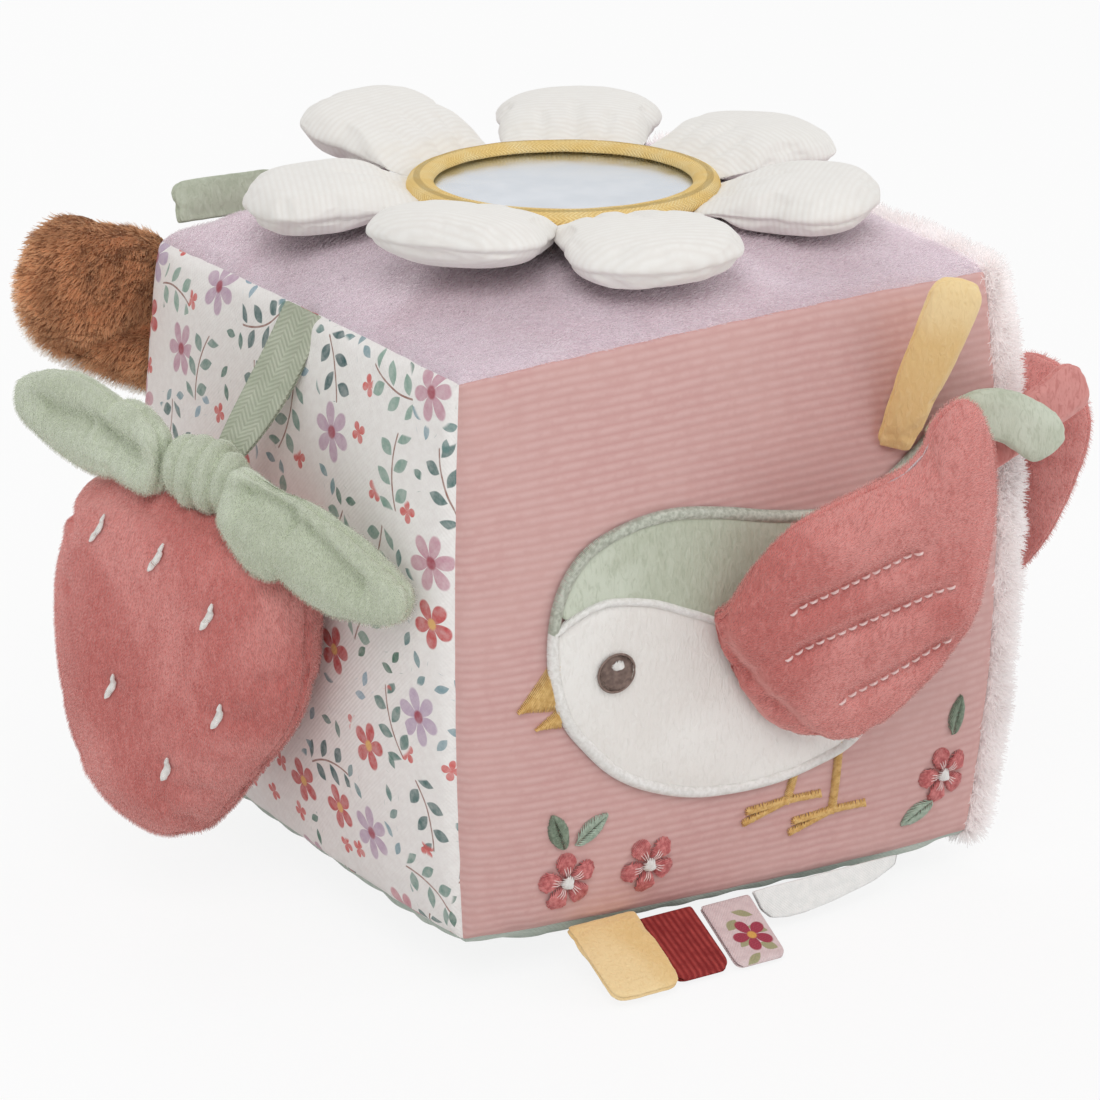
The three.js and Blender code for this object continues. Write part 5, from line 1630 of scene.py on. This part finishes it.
GOLDEN = {
    "beak_upper": satin(UPPER_BEAK, BEAK_SLANT, 1.0, on_front),
    "beak_lower": satin(LOWER_BEAK, BEAK_SLANT, 1.0, on_front),
    "leg_front": leg((15.5, 46), (12.8, 33.8)),
    "leg_rear": leg((27, 50), (26.8, 28)),
}
for name, lines in GOLDEN.items():
    sew(f"bird_{name}_stitches", lines, GOLD_THREAD, BLOCK, "mustard_thread", [f"bird_{name}"])

# %% Embroidered flowers and leaves
FLOWER_RADIUS = 7.4
FLOWERS = {"left": (-47.3, 26, 8), "middle": (-25.5, 25.8, 30), "right": (60.6, 29.4, 16)}
STITCHED_LEAVES = {
    "tall": (-50.4, 39.3, 112, GREEN_THREAD), "short": (-41.8, 38.3, 38, PALE_THREAD),
    "upper": (63.2, 44.6, 80, GREEN_THREAD), "lower": (53.6, 20.6, 205, PALE_THREAD),
}


def heading(degrees):
    """A direction in a plane, and the one to its left."""
    run = Vector((math.cos(math.radians(degrees)), math.sin(math.radians(degrees))))
    return run, Vector((-run.y, run.x))


def flower_stitches(x, z, turn):
    lines = []
    for number in range(5):
        degrees = 90 + turn + number * 72
        run, side = heading(degrees)
        middle = Vector((x, z)) + run * (FLOWER_RADIUS * 0.58)
        outline = []
        for a in range(24):
            angle = math.tau * a / 24
            sideways = (2.35 + 0.75 * math.cos(angle)) * math.sin(angle)
            outline.append(middle + run * (3.15 * math.cos(angle)) + side * sideways)
        lines += satin(outline, degrees, 0.85, on_front, seed=number)
    return lines


for name, (x, z, turn) in FLOWERS.items():
    sew(f"flower_{name}_petals", flower_stitches(x, z, turn), ROSE_THREAD, BLOCK,
        "rose_thread", [f"embroidered_flower_{name}"])
    rays = []
    for number in range(15):
        run, _ = heading(90 + turn + (number // 3) * 72 + (number % 3 - 1) * 11)
        spots = [Vector((x, z)) + run * (FLOWER_RADIUS * share) for share in (0.24, 0.4, 0.58)]
        rays.append([on_front(spot.x, spot.y, rise) for spot, rise in zip(spots, (0.8, 1.3, 1.0))])
    sew(f"flower_{name}_rays", rays, PINK_THREAD, BLOCK, "rose_thread", thickness=0.3)
    heart = satin(oval(x, z, 1.6, 1.6, 16), 20 + turn, 0.9, stitched(0.45))
    sew(f"flower_{name}_heart", heart, WHITE_THREAD, BLOCK, "white_thread")


def leaf_stitches(x, z, degrees):
    run, side = heading(degrees)
    lines = []
    for half in (-1, 1):
        outline = []
        for step in range(13):
            share = step / 12
            spot = Vector((x, z)) + run * ((share - 0.5) * 10.4)
            outline.append(spot + side * (half * 2.5 * math.sin(math.pi * share) ** 0.8))
        lines += satin(outline, degrees + half * 38, 0.7, on_front)
    return lines


leaf_nodes = [node for node in frame["nodes"] if node.startswith("embroidered_leaf")]
for name, (x, z, degrees, cloth) in STITCHED_LEAVES.items():
    node = next(n for n in leaf_nodes if n.endswith(name))
    sew(f"stitched_leaf_{name}", leaf_stitches(x, z, degrees), cloth, BLOCK,
        "green_thread", [node])

# %% [markdown]
# The wing is the largest padded piece: two coral covers over a crackling film, sewn to the bird along
# a slanting root and folded out from it. Three lines of topstitching pull the covers together, and
# the pale thread shows at every stitch.

# %% Wing
WING_ROOT = (4, -83.66, 56.8)
WING_SLOPE, WING_LIFT = -46.7, 25.0
WING_LENGTH, WING_WIDTH, WING_ROOT_SHARE = 86.0, 61.5, 0.707
WING_CHANNELS = [((.265, .265), (.385, .65)), ((.42, .17), (.615, .65)), ((.745, .19), (.835, .54))]
WING_HEM = [((-38, 13), (-30, 6.5)), ((-30, 6.5), (-10, 5)), ((-10, 5), (12, 7))]
wing_frame = hinge_frame(WING_ROOT, turned(WING_SLOPE, X, Z), turned(WING_SLOPE + 90, X, Z), WING_LIFT)


def on_face(piece, local):
    """A function that puts a place of a piece's own plane on its outer face."""
    tree = tree_of(piece)
    out = local.to_3x3() @ Z

    def surface(x, y, lift):
        above = local @ Vector((x * MM, y * MM, 60 * MM))
        hit = tree.ray_cast(above, -out)[0]
        return hit + out * (lift * MM)

    return surface


def on_wing(a, b):
    return ((a - WING_ROOT_SHARE) * WING_WIDTH, b * WING_LENGTH)


TOPSTITCH_LIFT, TOPSTITCH_STEP, TOPSTITCH_THREAD = 0.45, 2.6, 0.7
STITCH = [(0.05, -0.1), (0.25, 0.35), (0.5, 0.42), (0.75, 0.35), (0.95, -0.1)]


def topstitch(name, piece, local, lines, body, slot):
    """Short raised stitches with gaps, along lines in a piece's own plane, on its outer face."""
    surface = on_face(piece, local)
    paths = []
    for start, end in lines:
        start, end = Vector(start), Vector(end)
        count = int((end - start).length / TOPSTITCH_STEP)
        for number in range(count):
            path = []
            for share, rise in STITCH:
                spot = start + (end - start) * ((number + share * 0.8 + 0.1) / count)
                path.append(surface(spot.x, spot.y, rise + TOPSTITCH_LIFT))
            paths.append(path)
    sew(name, paths, PINK_THREAD, body, slot, thickness=TOPSTITCH_THREAD)


wing_lines = [(on_wing(*start), on_wing(*end)) for start, end in WING_CHANNELS]
wing = padded_piece(
    "wing_velour", ["wing_front_cover", "wing_back_cover"], wing_frame, CORAL, "wing", "coral_velour",
    voxel=1.5, reach=2.0, closed_by=0.5,
)
sewn_edge(wing, wing_frame, 0.0, 0.9, 0.8)
creased(wing, wing_frame, [(start, end, 2.4, 2.8) for start, end in wing_lines])
creased(wing, wing_frame, [(start, end, 2.0, 1.5) for start, end in WING_HEM])
soft_waves(wing, 26, 0.6)
topstitch("wing_topstitch", wing, wing_frame, wing_lines, "wing", "rose_thread")

# %% Tail feathers
# root, direction in the front's plane, lift off it and turn about its own length, in degrees
FEATHERS = {
    "yellow": ((40, -81.131, 117), 76, 14, -12, YELLOW, "yellow_velour"),
    "green": ((49, -84.7558, 117.3), 6, 15, 0, SAGE, "sage_velour"),
    "coral": ((57, -82.5361, 108.5), 27, 4, 0, CORAL, "coral_velour"),
}
for name, (root, direction, lift, turn, cloth, slot) in FEATHERS.items():
    local = hinge_frame(root, turned(direction - 90, X, Z), turned(direction, X, Z), lift)
    local = local @ Matrix.Rotation(math.radians(turn), 4, "Y")
    node = f"tail_feather_{name}"
    padded_piece(f"feather_{name}_velour", [node], local, cloth, node, slot, voxel=0.9, reach=0.7,
                 seam=(0.0, 0.7, 0.55))
print("wing and feathers done")

# %% [markdown]
# The strawberry hangs in front of the printed side from a folded tape. The berry is one big stuffed
# form with a sewn edge, small dimples where the white seed stitches pull it in, and wrinkles at its
# lower right; the knot is a wound lump of velour that holds two thick leaves with a fold along them.

# %% Strawberry: berry
BERRY_KNOT = (-101.5, -11.8, 116.6)
berry_frame = hinge_frame(BERRY_KNOT, turned(-70, X, Y), Z)
SEEDS = [(-27.4, -16.7), (-7.2, -19.1), (8.5, -30), (-21.7, -53.6), (9, -54.8), (-5.8, -70.9)]
SEED_LENGTH, SEED_WIDTH, SEED_LEAN = 7.0, 1.6, 68
BERRY_WRINKLES = [
    ((38.0, -41.0), (19.0, -47.0), 3.2, 2.6),
    ((38.0, -51.0), (24.0, -52.0), 2.6, 2.2),
    ((36.0, -66.0), (20.0, -61.0), 2.4, 2.6),
    ((14.0, -84.0), (-6.0, -76.0), 2.6, 3.0),
    ((24.0, -77.0), (6.0, -71.0), 2.2, 2.8),
    ((-44.0, -30.0), (-36.0, -34.0), 0.8, 1.6),
]
berry = padded_piece(
    "strawberry_velour", ["strawberry_body"], berry_frame, CORAL, "strawberry", "coral_velour",
    voxel=2.0, reach=2.2, held=lambda place: place.y > -12,
)


def berry_sag(here):
    """The stuffing has settled low on the right, which leaves that side full below and flat above."""
    low = 6.5 * math.exp(-(((here.y + 70) / 17) ** 2)) - 2.5 * math.exp(-(((here.y + 34) / 14) ** 2))
    here.x += max(0.0, here.x / 30) * low
    return here


shaped(berry, berry_frame, berry_sag)
sewn_edge(berry, berry_frame, -3.0, 1.1, 0.9)
creased(berry, berry_frame, BERRY_WRINKLES)
creased(berry, berry_frame, [((x - 0.5, y - 1.5), (x + 0.5, y + 1.5), 1.3, 3.4) for x, y in SEEDS])
soft_waves(berry, 30, 1.0)


SEED_LIFT = 0.5


def seed_stitches(surface, x, y):
    run, side = heading(SEED_LEAN)
    outline = []
    for step in range(20):
        angle = math.tau * step / 20
        wide = SEED_WIDTH / 2 * math.sin(angle) * (1 - 0.35 * math.cos(angle))
        outline.append(Vector((x, y)) + run * (SEED_LENGTH / 2 * math.cos(angle)) + side * wide)
    return satin(outline, SEED_LEAN + 78, 0.55, lambda a, b, lift: surface(a, b, lift + SEED_LIFT),
                 pitch=0.3, points=6, ragged=0.05)


berry_face = on_face(berry, berry_frame)
seed_lines = [line for x, y in SEEDS for line in seed_stitches(berry_face, x, y)]
sew("strawberry_seeds", seed_lines, WHITE_THREAD, "strawberry", "white_thread")

# %% Strawberry: knot and leaves
KNOT_FORWARD, LEAF_FORWARD, LEAF_SWING = 3.0, 7.5, 5.0
knot_frame = berry_frame @ Matrix.Translation((0, 0, KNOT_FORWARD * MM))
KNOT_HALF, KNOT_BARREL = 11.5, 0.42
WRAPS = ((-5.6, 0.16), (0.2, 0.2), (5.8, 0.16))
WRAP_DEPTH, WRAP_WIDTH = 1.7, 1.2


def knot_change(here):
    """A lump that stays thick to its ends, wound round by bands of its own cloth."""
    end = min(abs(here.x) / KNOT_HALF, 1.0) ** 2
    return Vector((here.x, here.y * (1 + KNOT_BARREL * end), here.z * (1 + KNOT_BARREL * end)))


def wrapped(place, normal):
    here = (knot_frame.inverted() @ place) / MM
    away = [(here.x - middle - slope * here.y) / WRAP_WIDTH for middle, slope in WRAPS]
    dip = sum(math.exp(-(share ** 2)) for share in away)
    return normal * (-WRAP_DEPTH * MM * min(dip, 1.0))


knot = padded_piece("strawberry_knot_velour", ["strawberry_knot"], knot_frame, SAGE, "strawberry",
                    "sage_velour", voxel=0.9, reach=0.5, change=knot_change,
                    held=lambda place: abs(place.x) > KNOT_HALF - 1)
reshaped(knot, wrapped)
LEAF_FOLDS = {
    -1: [((-13, 2), (-30, 7), 5.2, 3.4), ((-30, 7), (-50, 8), 3.8, 3.2)],
    1: [((13, 0), (30, -5), 6.2, 3.4), ((30, -5), (50, -17), 4.6, 3.2)],
}
LEAF_ROOT, LEAF_ROOT_REACH, LEAF_ROOT_WIDER, LEAF_ROOT_THICKER = 11.8, 13.0, 1.0, 0.5


def leaf_change(here):
    """The cloth of the leaf runs into the knot as a full, gathered neck."""
    near = max(0.0, 1 - (abs(here.x) - LEAF_ROOT) / LEAF_ROOT_REACH)
    here.y *= 1 + LEAF_ROOT_WIDER * near
    here.z *= 1 + LEAF_ROOT_THICKER * near
    here.x -= math.copysign(2.2 * near, here.x)
    return here


leaves = {}
for side, name in ((-1, "left"), (1, "right")):
    swing = Matrix.Rotation(side * math.radians(LEAF_SWING), 4, "Y")
    local = berry_frame @ swing @ Matrix.Translation((0, 0, LEAF_FORWARD * MM))
    node = f"strawberry_leaf_{name}"
    leaf = padded_piece(
        f"{node}_velour", [node], local, SAGE, node, "sage_velour", voxel=1.2, reach=1.4,
        seam=(0.0, 0.8, 0.7), change=leaf_change, held=lambda place: abs(place.x) < 16,
    )
    creased(leaf, local, LEAF_FOLDS[side])
    soft_waves(leaf, 16, 0.5, shift=side)
    leaves[name] = leaf

# %% [markdown]
# Tape, tabs and label are flat cloth, folded once and sewn in by both ends, so each is modelled as
# the strip it was cut as: a grid that runs out, turns round its fold and comes back, then gets its
# thickness. The strip's own length is in the map, so weave and print lie on it as on the real one.

# %% Folded strips
STRIP_CELLS = (8, 36)
CLOTH_THICKNESS = 0.7


def folded_strip(name, node, local, length, gap, left, right, cloth, body, slot, bend=None,
                 thickness=CLOTH_THICKNESS, mirrored=False):
    """left(share) and right(share) give the strip's two edges at a share of the way out, in mm."""
    bm = bmesh.new()
    bmesh.ops.create_grid(bm, x_segments=STRIP_CELLS[0], y_segments=STRIP_CELLS[1], size=1.0)
    chart = bm.loops.layers.uv.new("cloth")
    radius = gap / 2
    straight = length - radius
    total = 2 * straight + math.pi * radius
    charts = {}
    for vertex in bm.verts:
        across, along = vertex.co.x, (vertex.co.y + 1) / 2 * total
        if along < straight:
            out, rise = along, radius
        elif along > total - straight:
            out, rise = total - along, -radius
        else:
            angle = (along - straight) / radius
            out, rise = straight + radius * math.sin(angle), radius * math.cos(angle)
        share = min(out / length, 1.0)
        x = (left(share) + right(share)) / 2 + across * (right(share) - left(share)) / 2
        y, z = (bend(x, out, rise) if bend else (out, rise))
        vertex.co = local @ (Vector((x, y, z)) * MM)
        reach = along if along < total / 2 else total - along
        charts[vertex] = ((-x if mirrored else x) * MM, reach * MM)
    for face in bm.faces:
        for loop in face.loops:
            loop[chart].uv = charts[loop.vert]
    piece = new_piece(name, bm)
    skin_step = piece.modifiers.new("thick", "SOLIDIFY")
    skin_step.thickness = thickness * MM
    skin_step.offset = 0.0
    baked(piece)
    subdivided(piece, 1)
    dress(piece, cloth, body, slot, [node])
    return piece


def rounded_end(width, length, slant, radius=3.6):
    """The two edges of a tab whose end corners are round and whose middle shifts by a slant."""

    def half(share):
        into = max(share * length - (length - radius), 0.0) / radius
        return width / 2 - radius * (1 - math.sqrt(max(1 - into * into, 0.0))) * 0.8

    return (lambda share: slant * share - half(share)), (lambda share: slant * share + half(share))


# %% Tabs and label in the bottom seam
def tab_frame(origin, drop):
    angle = math.radians(drop)
    return hinge_frame(origin, -X, Vector((0, -math.cos(angle), -math.sin(angle))))


yellow_frame = tab_frame((-36.6, -74.7173, 12.6479), 24.5)
padded_piece("bottom_tab_yellow_velour", ["bottom_tab_yellow"], yellow_frame, YELLOW,
             "bottom_tab_yellow", "yellow_velour", voxel=0.7, reach=0.25, seam=(0.0, 0.4, 0.4))

red_left, red_right = rounded_end(15.5, 20.5, 0.7)
folded_strip("bottom_tab_dark_red_cord", "bottom_tab_dark_red", tab_frame((-18.6, -74.3962, 9.7531), 24),
             20.5, 1.2, red_left, red_right, DARK_RED_RIB, "bottom_tab_dark_red", "dark_red_rib")
print_left, print_right = rounded_end(14.0, 21.0, 2.0, 2.6)
folded_strip("bottom_tab_printed_satin", "bottom_tab_printed", tab_frame((-1.4, -74.4777, 9.0868), 22),
             21.0, 0.9, print_left, print_right, PRINTED_RIBBON, "bottom_tab_printed",
             "printed_ribbon", thickness=0.5)

LABEL_WIDTH, LABEL_DROP = 43.0, 8.0
LABEL_LEFT = [(0, 0), (.05, 0), (.6, .03), (.93, .09), (1, .2)]
LABEL_RIGHT = [(0, 1), (.3, .97), (.62, .8), (.9, .5), (1, .3)]


def between(table, share):
    for (s1, value1), (s2, value2) in zip(table, table[1:]):
        if share <= s2:
            return value1 + (value2 - value1) * (share - s1) / (s2 - s1)
    return table[-1][1]


label_frame = hinge_frame((5.9, -74.7922, 10.1023), X, Vector((0, -0.4067, -0.9135)))
folded_strip("side_label_satin", "blank_label", label_frame, LABEL_DROP, 0.6,
             lambda share: LABEL_WIDTH * between(LABEL_LEFT, share),
             lambda share: LABEL_WIDTH * between(LABEL_RIGHT, share),
             LABEL, "blank_label", "label_ribbon", thickness=0.35,
             bend=lambda x, out, rise: (out, rise - 0.6))

back_tab_frame = hinge_frame((-51, 73.9804, 151.1746), X, Vector((0, 0.4067, 0.9135)))
padded_piece("back_tab_velour", ["back_tab"], back_tab_frame, SAGE, "back_tab", "sage_velour",
             voxel=0.8, reach=1.2, seam=(0.0, 0.5, 0.5))

# %% Strawberry: tape
TAPE_WIDTH, TAPE_NECK, TAPE_SAG, TAPE_GATHER = 11.0, 7.0, 2.2, 4
TAPE_FACING = Vector((-0.8, -0.6, 0.3))


def tape_strip():
    """A doubled band from the top seam to the back of the knot, narrowing where it is gathered."""
    start = Vector((-74.79, -8.0, 150.0))
    end = Vector(BERRY_KNOT) + turned(20, X, Y) * 4.8 + Z * 2.85
    run = (end - start).normalized()
    length = (end - start).length
    out = TAPE_FACING - run * TAPE_FACING.dot(run)
    local = hinge_frame(start, run.cross(out), run)

    def edge(side):
        return lambda share: side * (TAPE_WIDTH + (TAPE_NECK - TAPE_WIDTH) * share ** TAPE_GATHER) / 2

    def bend(x, along, rise):
        share = along / length
        return along, rise - TAPE_SAG * math.sin(math.pi * min(share, 1.0))

    return folded_strip("strawberry_tape_band", "strawberry_tape", local, length, 1.1, edge(-1), edge(1),
                        SAGE_TAPE, "tape", "sage_tape",
                        bend=bend, thickness=0.6)


tape_strip()

# %% [markdown]
# The fur tail is long pile on two padded shapes, a brown front and a white back whose rim shows
# round it. The butterfly on the fluffy side is a velour body with two padded wings.

# %% Tail and butterfly bodies
TAIL_FOLD = [
    ((48, 5), (32, 12), 4.6, 3.2), ((32, 12), (8, 11), 5.0, 3.2), ((26, -6), (8, -8), 2.0, 2.4),
]
tail_frame = hinge_frame((-47, 88.5394, 112), -X, Z)


def tail_pad(side, node, cloth, longer, taller, raised):
    """One of the tail's two pads, a little smaller than its solid to leave room for the fur."""
    return padded_piece(
        f"tail_{side}_pad", [node], tail_frame, cloth, "fur_tail", f"{side}_fur", voxel=1.6, reach=1.6,
        held=lambda place: place.x < 3,
        change=lambda here: Vector((here.x * longer, here.y * taller + raised, here.z)),
    )


tail_brown = tail_pad("brown", "tail_brown_front", BROWN_FUR, 0.97, 0.97, 1.6)
for facing in (1, -1):
    creased(tail_brown, tail_frame, TAIL_FOLD, facing)
tail_white = tail_pad("white", "tail_white_back", WHITE_FUR, 0.95, 0.92, -0.8)

butterfly_frame = hinge_frame((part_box("butterfly_body")[0].x / MM, -8, 93), Y, Z)
padded_piece("butterfly_body_velour", ["butterfly_body"], butterfly_frame, SAGE, BLOCK, "sage_velour",
             voxel=1.2, reach=0.8)
BUTTERFLY_WINGS = {
    "front": hinge_frame((83.7338, -16.2, 93), Z, -Y), "rear": hinge_frame((83.7338, 0.2, 93), -Z, Y),
}
butterfly_wings = {}
for name, flat_wing in BUTTERFLY_WINGS.items():
    local = flat_wing @ Matrix.Rotation(math.radians(22), 4, "X")
    node = f"butterfly_wing_{name}"
    butterfly_wings[name] = padded_piece(f"{node}_velour", [node], local, CORAL, node, "coral_velour",
                                         voxel=1.8, reach=1.6, seam=(0.0, 0.9, 0.8))
print("tail and butterfly done")

# %% [markdown]
# Long pile is real geometry, because it changes the outline. Geometry nodes scatter points over a
# cloth, set a small tapered blade on each, lean it the way the pile was brushed and turn it a little
# at random; a slow noise makes the blades draw together into tufts.

# %% Pile: one blade
def make_blade(name, cells):
    """A strip one unit long that narrows and bends towards its tip."""
    bm = bmesh.new()
    bmesh.ops.create_grid(bm, x_segments=1, y_segments=cells, size=0.5)
    chart = bm.loops.layers.uv.new("cloth")
    for face in bm.faces:
        for loop in face.loops:
            loop[chart].uv = (loop.vert.co.x + 0.5, loop.vert.co.y + 0.5)
    for vertex in bm.verts:
        along = vertex.co.y + 0.5
        vertex.co = Vector((vertex.co.x * (1 - 0.75 * along ** 1.5), 0.28 * along ** 2, along))
    return new_piece(name, bm)


SHORT_BLADE, LONG_BLADE = make_blade("short_blade", 1), make_blade("long_blade", 2)


# %% Pile: scatter
def pile_nodes(blade, density, length, width, lean, tuft, tuft_size, jitter, seed):
    tree = bpy.data.node_groups.new("pile", "GeometryNodeTree")
    tree.interface.new_socket("Geometry", in_out="INPUT", socket_type="NodeSocketGeometry")
    tree.interface.new_socket("Geometry", in_out="OUTPUT", socket_type="NodeSocketGeometry")

    def node(kind, inputs=(), **settings):
        return made_node(tree, kind, inputs, settings)

    def chance(low, high, shift):
        inputs = {0: low, 1: high, "Seed": seed + shift}
        return node("FunctionNodeRandomValue", inputs, data_type="FLOAT_VECTOR").outputs[0]

    def vectors(operation, *values):
        return node("ShaderNodeVectorMath", dict(enumerate(values)), operation=operation).outputs[0]

    def scaled(vector, factor):
        return node("ShaderNodeVectorMath", {0: vector, "Scale": factor}, operation="SCALE").outputs[0]

    start = node("NodeGroupInput")
    points = node("GeometryNodeDistributePointsOnFaces", {
        "Mesh": start.outputs[0], "Density": density, "Seed": seed})
    here = node("GeometryNodeInputPosition").outputs[0]
    swirl = node("ShaderNodeTexNoise", {"Vector": here, "Scale": 1000 / tuft_size, "Detail": 1.0})
    drawn = scaled(vectors("SUBTRACT", swirl.outputs["Color"], (0.5, 0.5, 0.5)), 2 * tuft)
    stray = chance((-jitter,) * 3, (jitter,) * 3, 1)
    way = vectors("ADD", points.outputs["Normal"], vectors("ADD", lean, vectors("ADD", drawn, stray)))
    spin = node("FunctionNodeEulerToRotation", {0: chance((0, 0, 0), (0, 0, math.tau), 2)})
    aligned = node("FunctionNodeAlignRotationToVector", {"Rotation": spin.outputs[0], "Vector": way},
                   axis="Z")
    shortest, longest = length * 0.7, length * 1.1
    size = chance((width * 0.8, shortest, shortest), (width * 1.2, longest, longest), 3)
    info = node("GeometryNodeObjectInfo", {"Object": blade})
    set_on = node("GeometryNodeInstanceOnPoints", {
        "Points": points.outputs["Points"], "Instance": info.outputs["Geometry"],
        "Rotation": aligned.outputs[0], "Scale": size})
    real = node("GeometryNodeRealizeInstances", {0: set_on.outputs[0]})
    end = node("NodeGroupOutput")
    tree.links.new(real.outputs[0], end.inputs[0])
    return tree


def pile(name, base, cloth, body, slot, per_mm2, length, width, lean=(0, 0, 0), tuft=0.3,
         tuft_size=8.0, jitter=0.25, seed=1, blade=None, keep=None):
    """Blades over a piece; keep(place, normal) can leave out part of it. Sizes in millimetres."""
    bm = bmesh.new()
    bm.from_mesh(base.data)
    bm.normal_update()
    if keep:
        bare = [face for face in bm.faces if not keep(face.calc_center_median() / MM, face.normal)]
        bmesh.ops.delete(bm, geom=bare, context="FACES")
    ground = new_piece(name, bm)
    step = ground.modifiers.new("pile", "NODES")
    step.node_group = pile_nodes(blade or SHORT_BLADE, per_mm2 / MM ** 2, length * MM, width * MM,
                                 lean, tuft, tuft_size, jitter, seed)
    baked(ground)
    ground.data.shade_smooth()
    # The blades cast no shadow; the darker roots of the pile materials paint that shade instead.
    ground.visible_shadow = False
    dress(ground, cloth, body, slot)
    print(name, len(ground.data.polygons), "faces")


# %% Pile: on the cloths
TAIL_END = (-1.4, -0.1, -0.5)


def clear_of(local, spots, gap):
    """Leaves the pile off a gap on both sides of some lines in a piece's own plane."""
    back = local.inverted()

    def keep(place, normal):
        here = ((back @ (place * MM)) / MM).xy
        for start, end in spots:
            start, end = Vector(start), Vector(end)
            run = end - start
            share = max(0.0, min(1.0, (here - start).dot(run) / max(run.length_squared, 1e-9)))
            if (here - start - run * share).length < gap:
                return False
        return True

    return keep


FLEECE_RISE, FLEECE_EDGE = 4.2 * MM, 1.8 * MM
FLEECE_LUMPS, FLEECE_LUMP_SIZE = 0.35, 0.006
FLEECE_MIDDLE, FLEECE_PRESSED, FLEECE_PRESSED_REACH = Vector((0.08, -0.008, 0.093)), 0.75, 0.045


def swell_fleece(piece):
    """The right side is curly fleece. Its mass stands off the cloth in lumps right from the seam, and
    is pressed flat under the butterfly."""
    with edited(piece) as bm:
        chart = bm.loops.layers.uv["cloth"]
        for vertex in bm.verts:
            gap = max(from_seam(vertex.link_loops[0][chart].uv, PANELS[3]), 0.0)
            pressed = math.exp(-(((vertex.co - FLEECE_MIDDLE).length / FLEECE_PRESSED_REACH) ** 4))
            lump = 1 + FLEECE_LUMPS * noise.noise(vertex.co / FLEECE_LUMP_SIZE)
            rise = FLEECE_RISE * (1 - math.exp(-gap / FLEECE_EDGE)) * lump
            vertex.co += vertex.normal * (rise * (1 - FLEECE_PRESSED * pressed))


def near_edge(place, normal):
    return max(abs(place.y), abs(place.z - MIDDLE_Z)) > HALF_HEIGHT - 12


swell_fleece(panels["right"])
seed_run = heading(SEED_LEAN)[0] * (SEED_LENGTH / 2 - 1)
seed_spots = [(Vector(seed) - seed_run, Vector(seed) + seed_run) for seed in SEEDS]
pile("side_fluff", panels["right"], FLUFF_PILE, BLOCK, "pink_fluff", 1.05, 3.4, 0.6,
     tuft=0.9, tuft_size=6.0, jitter=0.35, blade=LONG_BLADE)
pile("side_fluff_edge", panels["right"], FLUFF_PILE, BLOCK, "pink_fluff", 3.6, 3.8, 0.5,
     tuft=1.0, tuft_size=5.0, jitter=0.4, seed=12, blade=LONG_BLADE, keep=near_edge)
pile("top_pile", panels["top"], LILAC_PILE, BLOCK, "lilac_plush", 3.7, 1.5, 0.4,
     lean=(0.7, -1.2, 0), tuft=0.5, tuft_size=18.0, jitter=0.15, seed=2)
pile("tail_brown_pile", tail_brown, BROWN_PILE, "fur_tail", "brown_fur", 6.0, 3.6, 0.45,
     lean=TAIL_END, tuft=0.8, tuft_size=10.0, jitter=0.2, seed=3, blade=LONG_BLADE)
pile("tail_white_pile", tail_white, WHITE_PILE, "fur_tail", "white_fur", 4.5, 2.2, 0.46,
     lean=(-1.0, 0, -0.3), tuft=0.5, tuft_size=9.0, jitter=0.2, seed=4, blade=LONG_BLADE)
pile("strawberry_pile", berry, CORAL_PILE, "strawberry", "coral_velour", 4.8, 1.05, 0.3,
     lean=(0, 0, -1.3), tuft=0.5, tuft_size=14.0, jitter=0.16, seed=5,
     keep=clear_of(berry_frame, seed_spots, 1.7))
pile("wing_pile", wing, CORAL_PILE, "wing", "coral_velour", 5.5, 1.05, 0.28,
     lean=(0.9, 0, 0.8), tuft=0.5, tuft_size=14.0, jitter=0.16, seed=6,
     keep=clear_of(wing_frame, wing_lines, 0.9))
for name, leaf in leaves.items():
    pile(f"leaf_{name}_pile", leaf, SAGE_PILE, f"strawberry_leaf_{name}", "sage_velour", 5.5, 0.9, 0.27,
         lean=(0, 0, -1.0), tuft=0.5, tuft_size=12.0, jitter=0.16, seed=7)
pile("knot_pile", knot, SAGE_PILE, "strawberry", "sage_velour", 5.5, 0.8, 0.27, lean=(0, 0, -1.0),
     jitter=0.16, seed=8)
for name, flap in butterfly_wings.items():
    pile(f"butterfly_{name}_pile", flap, CORAL_PILE, f"butterfly_wing_{name}", "coral_velour", 3.0, 1.15,
         0.34, lean=(0, 0, -0.6), tuft=0.5, tuft_size=12.0, seed=9)
piles = [piece for piece in scene.objects if "_pile" in piece.name or "_fluff" in piece.name]
print("all pile", sum(len(piece.data.polygons) for piece in piles))
for blade in (SHORT_BLADE, LONG_BLADE):
    bpy.data.objects.remove(blade)

# %% [markdown]
# At the end the finished box is set against the model's own.

# %% Sizes and finish
visual_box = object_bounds()
boxes = {"cad": cad_box, "visual": visual_box}
{key: [list(corner) for corner in box] for key, box in boxes.items()}
for axis in range(3):
    print("axis", "xyz"[axis], "below", round((cad_box[0][axis] - visual_box[0][axis]) / MM, 1),
          "above", round((visual_box[1][axis] - cad_box[1][axis]) / MM, 1), "mm")
